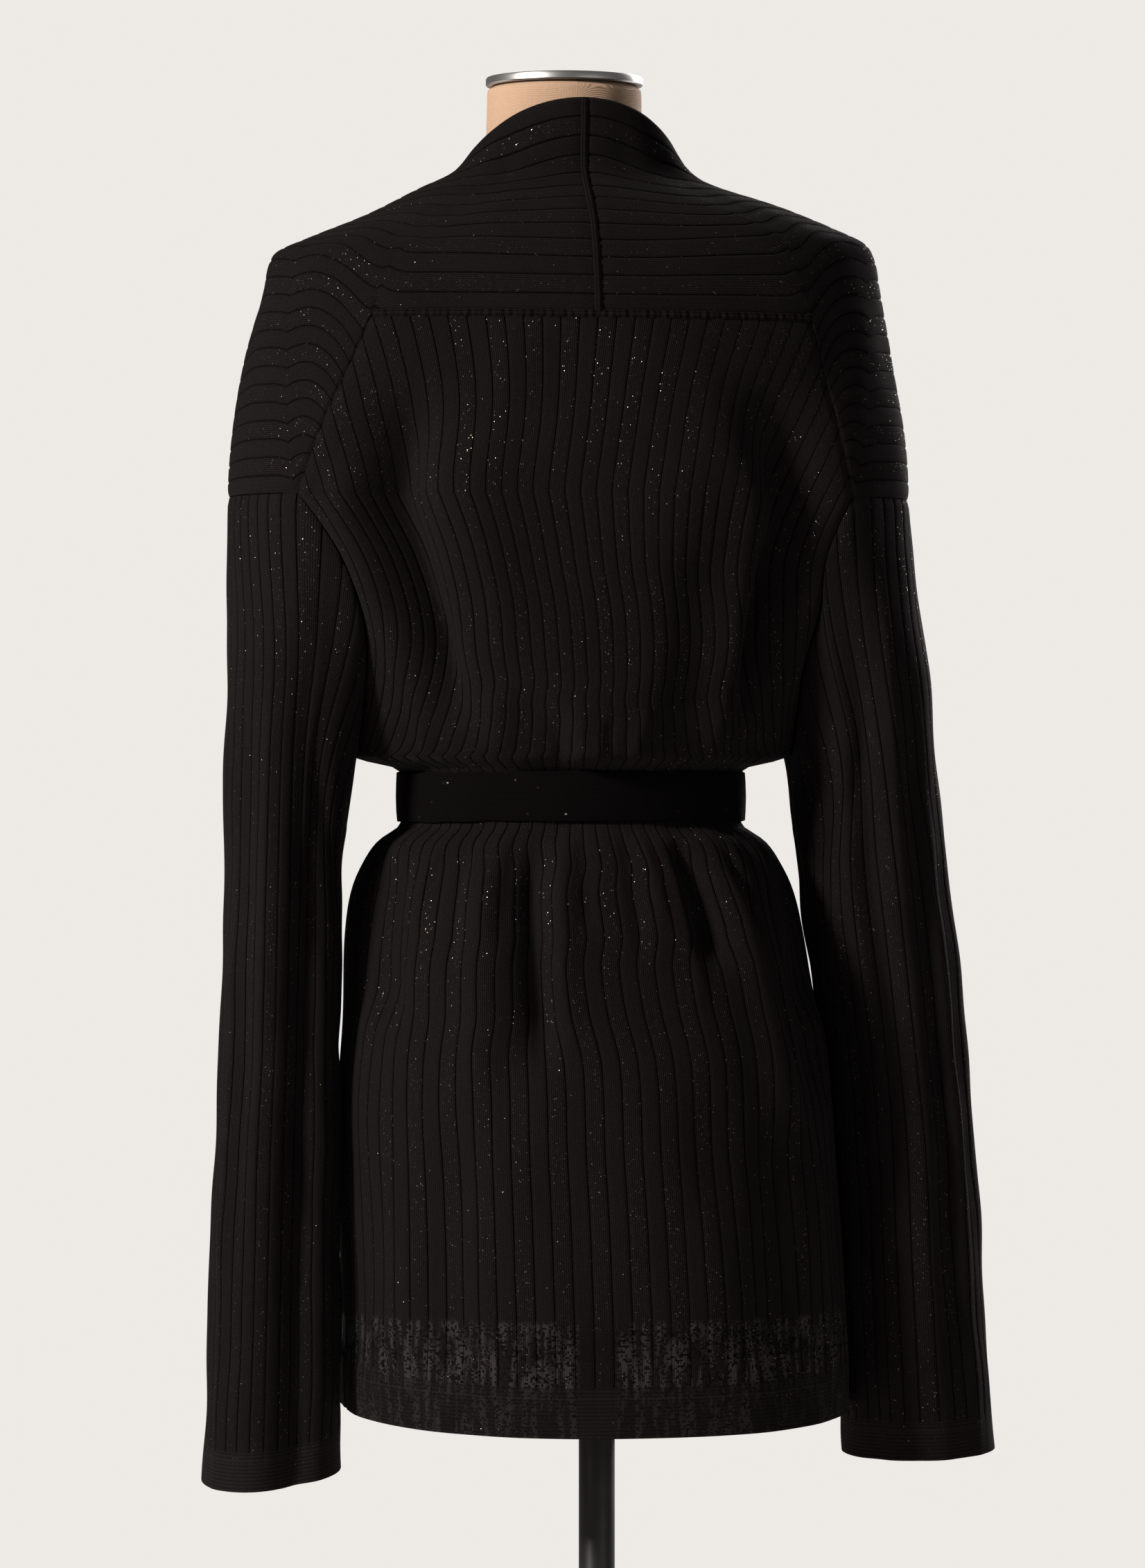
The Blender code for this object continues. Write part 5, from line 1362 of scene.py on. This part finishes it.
@dataclass(frozen=True)
class RibKnit:
    """Near-black rib knit: plain ribs of small stitches beside ribs with scattered glints of metal thread.

    A sheer share of 0 leaves it opaque; else light comes through its lower part between the stitches, and
    there see-through light and a pole shadow are painted into its colour.
    """

    name: str = "rib_knit"
    hem: float = 0.034
    sheer: float = 0.0
    seen_from: float = 0.0  # height from which the stitches let light through
    wales: float = 9.0  # stitches across a rib
    course: float = 0.00125
    dark: tuple[float, float, float] = (0.0006, 0.0005, 0.0005)
    plain: tuple[float, float, float] = (0.0110, 0.0085, 0.0090)
    # colour of the painted light seen through the sheer knit
    see_through_light: tuple[float, float, float] = (0.026, 0.023, 0.0225)
    glint: tuple[float, float, float] = (0.36, 0.30, 0.24)

    def make(self) -> bpy.types.Material:
        """Ribs by rib number, stitches by wale and course, glints by chance in every other rib."""
        g = Graph(self.name)
        ribs, up = g.cloth()
        place, z = g.place()
        turned = 1.0 - up.step(self.hem - 0.0012, self.hem)
        across = abs(ribs.part() * 2.0 - 1.0)
        groove = across.step(0.84, 0.98) * (1.0 - turned)
        lurex = (ribs.floor() * 0.5).part() * 2.0 * (1.0 - turned)
        wale = abs((ribs * self.wales).part() * 2.0 - 1.0)
        course = abs((up / self.course + wale * 0.5).part() * 2.0 - 1.0)
        loop = (1.0 - course * 0.8) * (1.0 - wale**3.0)
        line = (1.0 - wale**2.0) * (1.0 - course * 0.25)
        fold_lines = 1.0 - abs((up / 0.0025).part() * 2.0 - 1.0) ** 2.0
        knit = loop * (1.0 - lurex) + line * lurex
        knit = knit * (1.0 - turned * 0.6) + fold_lines * turned * 0.6
        dash = (ribs * self.wales * 0.5).part().over(0.35)
        sewn = (1.0 - abs(up - self.hem * 0.76).step(0.0003, 0.0008)) * turned * dash
        spot = g.join((ribs * self.wales * 2.5).floor(), (up / self.course * 2.5).floor())
        rare = 1.0 - (0.0015 + lurex * (0.012 + 0.030 * g.noise(place, 16.0).step(0.40, 0.75)))
        speck = g.join((ribs * self.wales * 2.5).floor() + 57.0, (up / self.course * 2.5).floor() + 11.0)
        bright = g.chance(speck)
        speck = g.chance(spot).over(rare) * (0.03 + 0.97 * bright**7.0)
        # the grooves are painted darker: painted shade in the recesses between ribs
        shade = (0.22 + 0.78 * knit) * (1.0 - 0.80 * groove) * (1.0 - 0.18 * lurex)
        shade = (
            shade * (0.70 + 0.60 * g.noise(place, 9.0)) * (0.40 + 1.20 * g.noise(place, 1100.0, 1.0))
            + sewn * 1.3
        )
        if self.sheer:
            # painted see-through light: below 0.70 m the knit is painted darker with pale streaks of light
            # on some stitches, except on a stripe round x = 0.0265 m, which is a painted shadow of the pole
            # behind
            x = Value(g, g.node("ShaderNodeSeparateXYZ", None, {0: place}).outputs[0])
            light_streaks = g.noise(g.join(ribs * 2.6, z * 26.0), 1.0, 3.0).step(0.42, 0.62)
            low = z.step(0.706, 0.700) * abs(x - 0.0265).step(0.010, 0.015)
            stitch = g.join((ribs * self.wales).floor() + 5.0, (up / self.course).floor())
            pinhole = g.chance(stitch).over(0.35)
            shade = shade * (1.0 - 0.40 * low)
            pale = low * (0.10 + 0.90 * light_streaks) * pinhole * (1.0 - 0.6 * turned)
        yarn = g.blend(shade, self.dark, self.plain)
        if self.sheer:
            # the painted see-through light goes into the yarn colour
            yarn = g.blend(pale, yarn, self.see_through_light)
        colour = g.blend(speck, yarn, self.glint)
        height = knit * 0.22 + sewn * 0.3 - groove * 0.8
        inputs = {
            "Base Color": colour,
            "Roughness": 0.95 - 0.60 * speck.step(0.0, 0.12),
            "Metallic": speck.step(0.0, 0.12),
            "Specular IOR Level": 0.03,
            "Sheen Weight": 0.008,
            "Sheen Roughness": 0.5,
        }
        if self.sheer:
            open_part = z.step(0.704, 0.694) * up.step(self.hem, self.hem + 0.001)
            open_part = open_part * z.step(self.seen_from, self.seen_from + 0.004)
            inputs["Alpha"] = 1.0 - self.sheer * open_part * (1.0 - 0.35 * knit)
        return g.finish(height, 0.0011, inputs)


@dataclass(frozen=True)
class BeltKnit:
    """Near-black close knit whose fine ribs run along the belt; coordinates are metres along and across."""

    name: str = "belt_knit_finish"
    pitch: float = 0.00125
    # dark and plain are below the body knit's (plain about a third): painted shade of the blouson hanging
    # over the belt
    dark: tuple[float, float, float] = (0.0005, 0.0004, 0.0004)
    plain: tuple[float, float, float] = (0.0036, 0.0028, 0.0030)
    glint: tuple[float, float, float] = (0.36, 0.30, 0.24)

    def make(self) -> bpy.types.Material:
        """Ribs across, stitches along, and a few glints."""
        g = Graph(self.name)
        along, across = g.cloth()
        rib = abs((across / self.pitch).part() * 2.0 - 1.0)
        stitch = abs((along / self.pitch + rib * 0.5).part() * 2.0 - 1.0)
        knit = (1.0 - rib**2.0) * (1.0 - 0.45 * stitch)
        cell = g.join((along / self.pitch).floor(), (across / self.pitch).floor(), 3.0)
        bright = g.chance(g.join((along / self.pitch).floor(), (across / self.pitch).floor(), 9.0))
        speck = g.chance(cell).over(0.997) * (0.03 + 0.97 * bright**7.0)
        place, _ = g.place()
        shade = (0.25 + 0.75 * knit) * (0.85 + 0.30 * g.noise(place, 14.0))
        inputs = {
            "Base Color": g.blend(speck, g.blend(shade, self.dark, self.plain), self.glint),
            "Roughness": 0.95 - 0.60 * speck.step(0.0, 0.12),
            "Metallic": speck.step(0.0, 0.12),
            "Specular IOR Level": 0.02,
            "Sheen Weight": 0.004,
        }
        return g.finish(knit, 0.00035, inputs)


@dataclass(frozen=True)
class Linen:
    """Natural linen on the bust: plain weave with slubs, in metres round and up."""

    name: str = "linen_weave"
    thread: float = 0.00062
    pale: tuple[float, float, float] = (0.50, 0.325, 0.215)
    deep: tuple[float, float, float] = (0.29, 0.170, 0.100)

    def make(self) -> bpy.types.Material:
        """Threads over and under by turns, thicker and paler where noise along them says so."""
        g = Graph(self.name)
        around, up = g.cloth()
        warp = abs((around / self.thread).part() * 2.0 - 1.0)
        weft = abs((up / self.thread).part() * 2.0 - 1.0)
        turn = (((around / self.thread).floor() + (up / self.thread).floor()) * 0.5).part() * 2.0
        weave = (1.0 - warp**2.0) * turn + (1.0 - weft**2.0) * (1.0 - turn)
        slub = (
            g.noise(g.join(around * 60.0, up * 900.0), 1.0) * 0.5
            + g.noise(g.join(around * 900.0, up * 60.0), 1.0) * 0.5
        )
        place, _ = g.place()
        shade = 0.30 + 0.35 * weave + 0.55 * (slub - 0.5) + 0.35 * (g.noise(place, 7.0) - 0.5) + 0.30
        inputs = {
            "Base Color": g.blend(shade.step(0.0, 1.0), self.deep, self.pale),
            "Roughness": 0.86,
            "Specular IOR Level": 0.25,
            "Sheen Weight": 0.10,
        }
        return g.finish(weave + slub * 1.5, 0.00016, inputs)


@dataclass(frozen=True)
class Metal:
    """Metal finish: a base colour with fine turned lines and faint wear."""

    name: str
    colour: tuple[float, float, float]
    worn: tuple[float, float, float]
    roughness: float
    metallic: float
    line: float = 900.0

    def make(self) -> bpy.types.Material:
        """Rings of fine lines by height, with soft blotches of wear."""
        g = Graph(self.name)
        place, z = g.place()
        lines = g.noise(g.join(z * self.line, 0.0, 0.0), 1.0, 3.0)
        blotch = g.noise(place, 22.0, 4.0)
        wear = (blotch + 0.3 * lines).step(0.62, 0.95)
        inputs = {
            "Base Color": g.blend(wear * 0.5, self.colour, self.worn),
            "Roughness": self.roughness + 0.14 * (blotch - 0.5) + 0.06 * lines,
            "Metallic": self.metallic,
        }
        return g.finish(lines * 0.4 + blotch * 0.6, 0.00004, inputs)


# ------------------------------------------------------------------------------ studio
@dataclass
class Studio:
    """Pale floor, soft light and a camera at the photograph's angle."""

    azimuth: float = 170.0
    distance: float = 4.5
    target: tuple[float, float, float] = (0.0162, -0.0029, 1.0573)
    lens: float = 152.3
    pale: tuple[float, float, float] = (0.846, 0.823, 0.790)

    def camera(self) -> None:
        """A camera level with its target."""
        data = bpy.data.cameras.new("camera")
        camera = bpy.data.objects.new("camera", data)
        bpy.context.scene.collection.objects.link(camera)
        a = math.radians(self.azimuth)
        back = Vector((math.sin(a), -math.cos(a), 0.0))
        camera.location = Vector(self.target) + back * self.distance
        camera.rotation_euler = (-back).to_track_quat("-Z", "Y").to_euler()
        data.sensor_fit = "VERTICAL"
        data.sensor_height = 36.0
        data.lens = self.lens
        bpy.context.scene.camera = camera

    def light(self, name: str, place: tuple, aim: tuple, size: float, power_w: float, colour: tuple) -> None:
        """An area light that faces a point."""
        data = bpy.data.lights.new(name, "AREA")
        data.size, data.energy, data.color = size, power_w, colour
        lamp = bpy.data.objects.new(name, data)
        lamp.location = place
        lamp.rotation_euler = (Vector(aim) - Vector(place)).to_track_quat("-Z", "Y").to_euler()
        bpy.context.scene.collection.objects.link(lamp)

    def floor(self) -> None:
        """A round pale floor."""
        g = Graph("floor_paint")
        place, _ = g.place()
        shade = g.noise(place, 1.5)
        colour = g.blend(shade, (0.78, 0.76, 0.73), self.pale)
        material = g.finish(None, 0.0, {"Base Color": colour, "Roughness": 0.7})
        angle = np.linspace(0.0, 2.0 * math.pi, 129)[:-1]
        ring = np.stack((4.2 * np.cos(angle), 4.2 * np.sin(angle), 0.0 * angle), axis=-1)
        mesh = bpy.data.meshes.new("floor")
        mesh.from_pydata(ring.tolist(), [], [tuple(range(len(ring)))])
        mesh.materials.append(material)
        floor = bpy.data.objects.new("floor", mesh)
        bpy.context.scene.collection.objects.link(floor)

    def world(self) -> None:
        """Pale surroundings behind the object, dimmer as a light on it."""
        world = bpy.data.worlds.new("studio")
        world.use_nodes = True
        tree = world.node_tree
        tree.nodes.clear()
        seen = tree.nodes.new("ShaderNodeBackground")
        seen.inputs[0].default_value = (*self.pale, 1.0)
        seen.inputs[1].default_value = 1.0
        lit = tree.nodes.new("ShaderNodeBackground")
        lit.inputs[0].default_value = (1.0, 0.98, 0.95, 1.0)
        lit.inputs[1].default_value = 0.13
        path = tree.nodes.new("ShaderNodeLightPath")
        mix = tree.nodes.new("ShaderNodeMixShader")
        out = tree.nodes.new("ShaderNodeOutputWorld")
        tree.links.new(path.outputs["Is Camera Ray"], mix.inputs[0])
        tree.links.new(lit.outputs[0], mix.inputs[1])
        tree.links.new(seen.outputs[0], mix.inputs[2])
        tree.links.new(mix.outputs[0], out.inputs[0])
        bpy.context.scene.world = world
        bpy.context.scene.view_settings.view_transform = "Standard"

    def build(self) -> None:
        """Sets up the whole studio."""
        self.camera()
        self.floor()
        self.world()
        self.light("key", (2.88, 1.55, 2.6), (0.0, 0.0, 1.25), 0.6, 215.0, (1.0, 0.95, 0.90))
        self.light("fill", (-2.0, 3.6, 1.6), (0.0, 0.0, 1.1), 2.4, 8.0, (1.0, 0.98, 0.96))
        self.light("front", (-2.4, -2.8, 2.4), (0.0, 0.0, 1.1), 2.2, 200.0, (1.0, 0.98, 0.96))


# ------------------------------------------------------------------------------ all together
def main() -> None:
    """Builds every piece in order."""
    logging.basicConfig(level=logging.INFO, format="%(name)s: %(message)s")
    Studio().build()
    back_knit = RibKnit(name="back_rib_knit", sheer=0.16, seen_from=0.677).make()
    front_knit = RibKnit(name="front_rib_knit", sheer=0.34).make()
    sleeve_knit = RibKnit(name="sleeve_rib_knit", hem=0.027).make()
    belt_knit = BeltKnit().make()
    roll_knit = BeltKnit(name="roll_knit_finish", plain=(0.0085, 0.0068, 0.0068)).make()
    back, fronts = BackPanel(), [FrontPanel(Side.LEFT), FrontPanel(Side.RIGHT)]
    back_cloth = back.cloth()
    piece = back_cloth.build(back_knit, "knit")
    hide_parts("back_panel")
    log.info("back area %.3f", back_cloth.area())
    for panel in fronts:
        cloth = panel.cloth()
        piece = cloth.build(front_knit, "knit")
        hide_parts("front_" + panel.side.name.lower())
        log.info("%s area %.3f", cloth.name, cloth.area())
        if panel.side is Side.LEFT:
            rolled = cloth
    for sleeve in (LEFT_SLEEVE, RIGHT_SLEEVE):
        cloth = sleeve.cloth()
        piece = cloth.build(sleeve_knit, "knit")
        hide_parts("sleeve_" + sleeve.side.name.lower())
        log.info("%s area %.3f", cloth.name, cloth.area())
    SeamRoll("centre_back_roll", 0.0052, 0.0015).build(rolled.ground[-1], rolled.normals[-1], roll_knit)
    yoke_roll = SeamRoll("yoke_roll", 0.0050, 0.0011, uneven=0.0003)
    yoke_roll.build(back_cloth.ground[-1], back_cloth.normals[-1], roll_knit)
    Belt().build(belt_knit)
    steel = Metal("brushed_cap", (0.56, 0.555, 0.54), (0.42, 0.41, 0.39), 0.30, 1.0).make()
    paint = Metal("black_paint", (0.010, 0.010, 0.011), (0.030, 0.029, 0.028), 0.38, 0.0, 120.0).make()
    DressForm().build(Linen().make(), steel, paint)


if __name__ == "__main__":
    main()
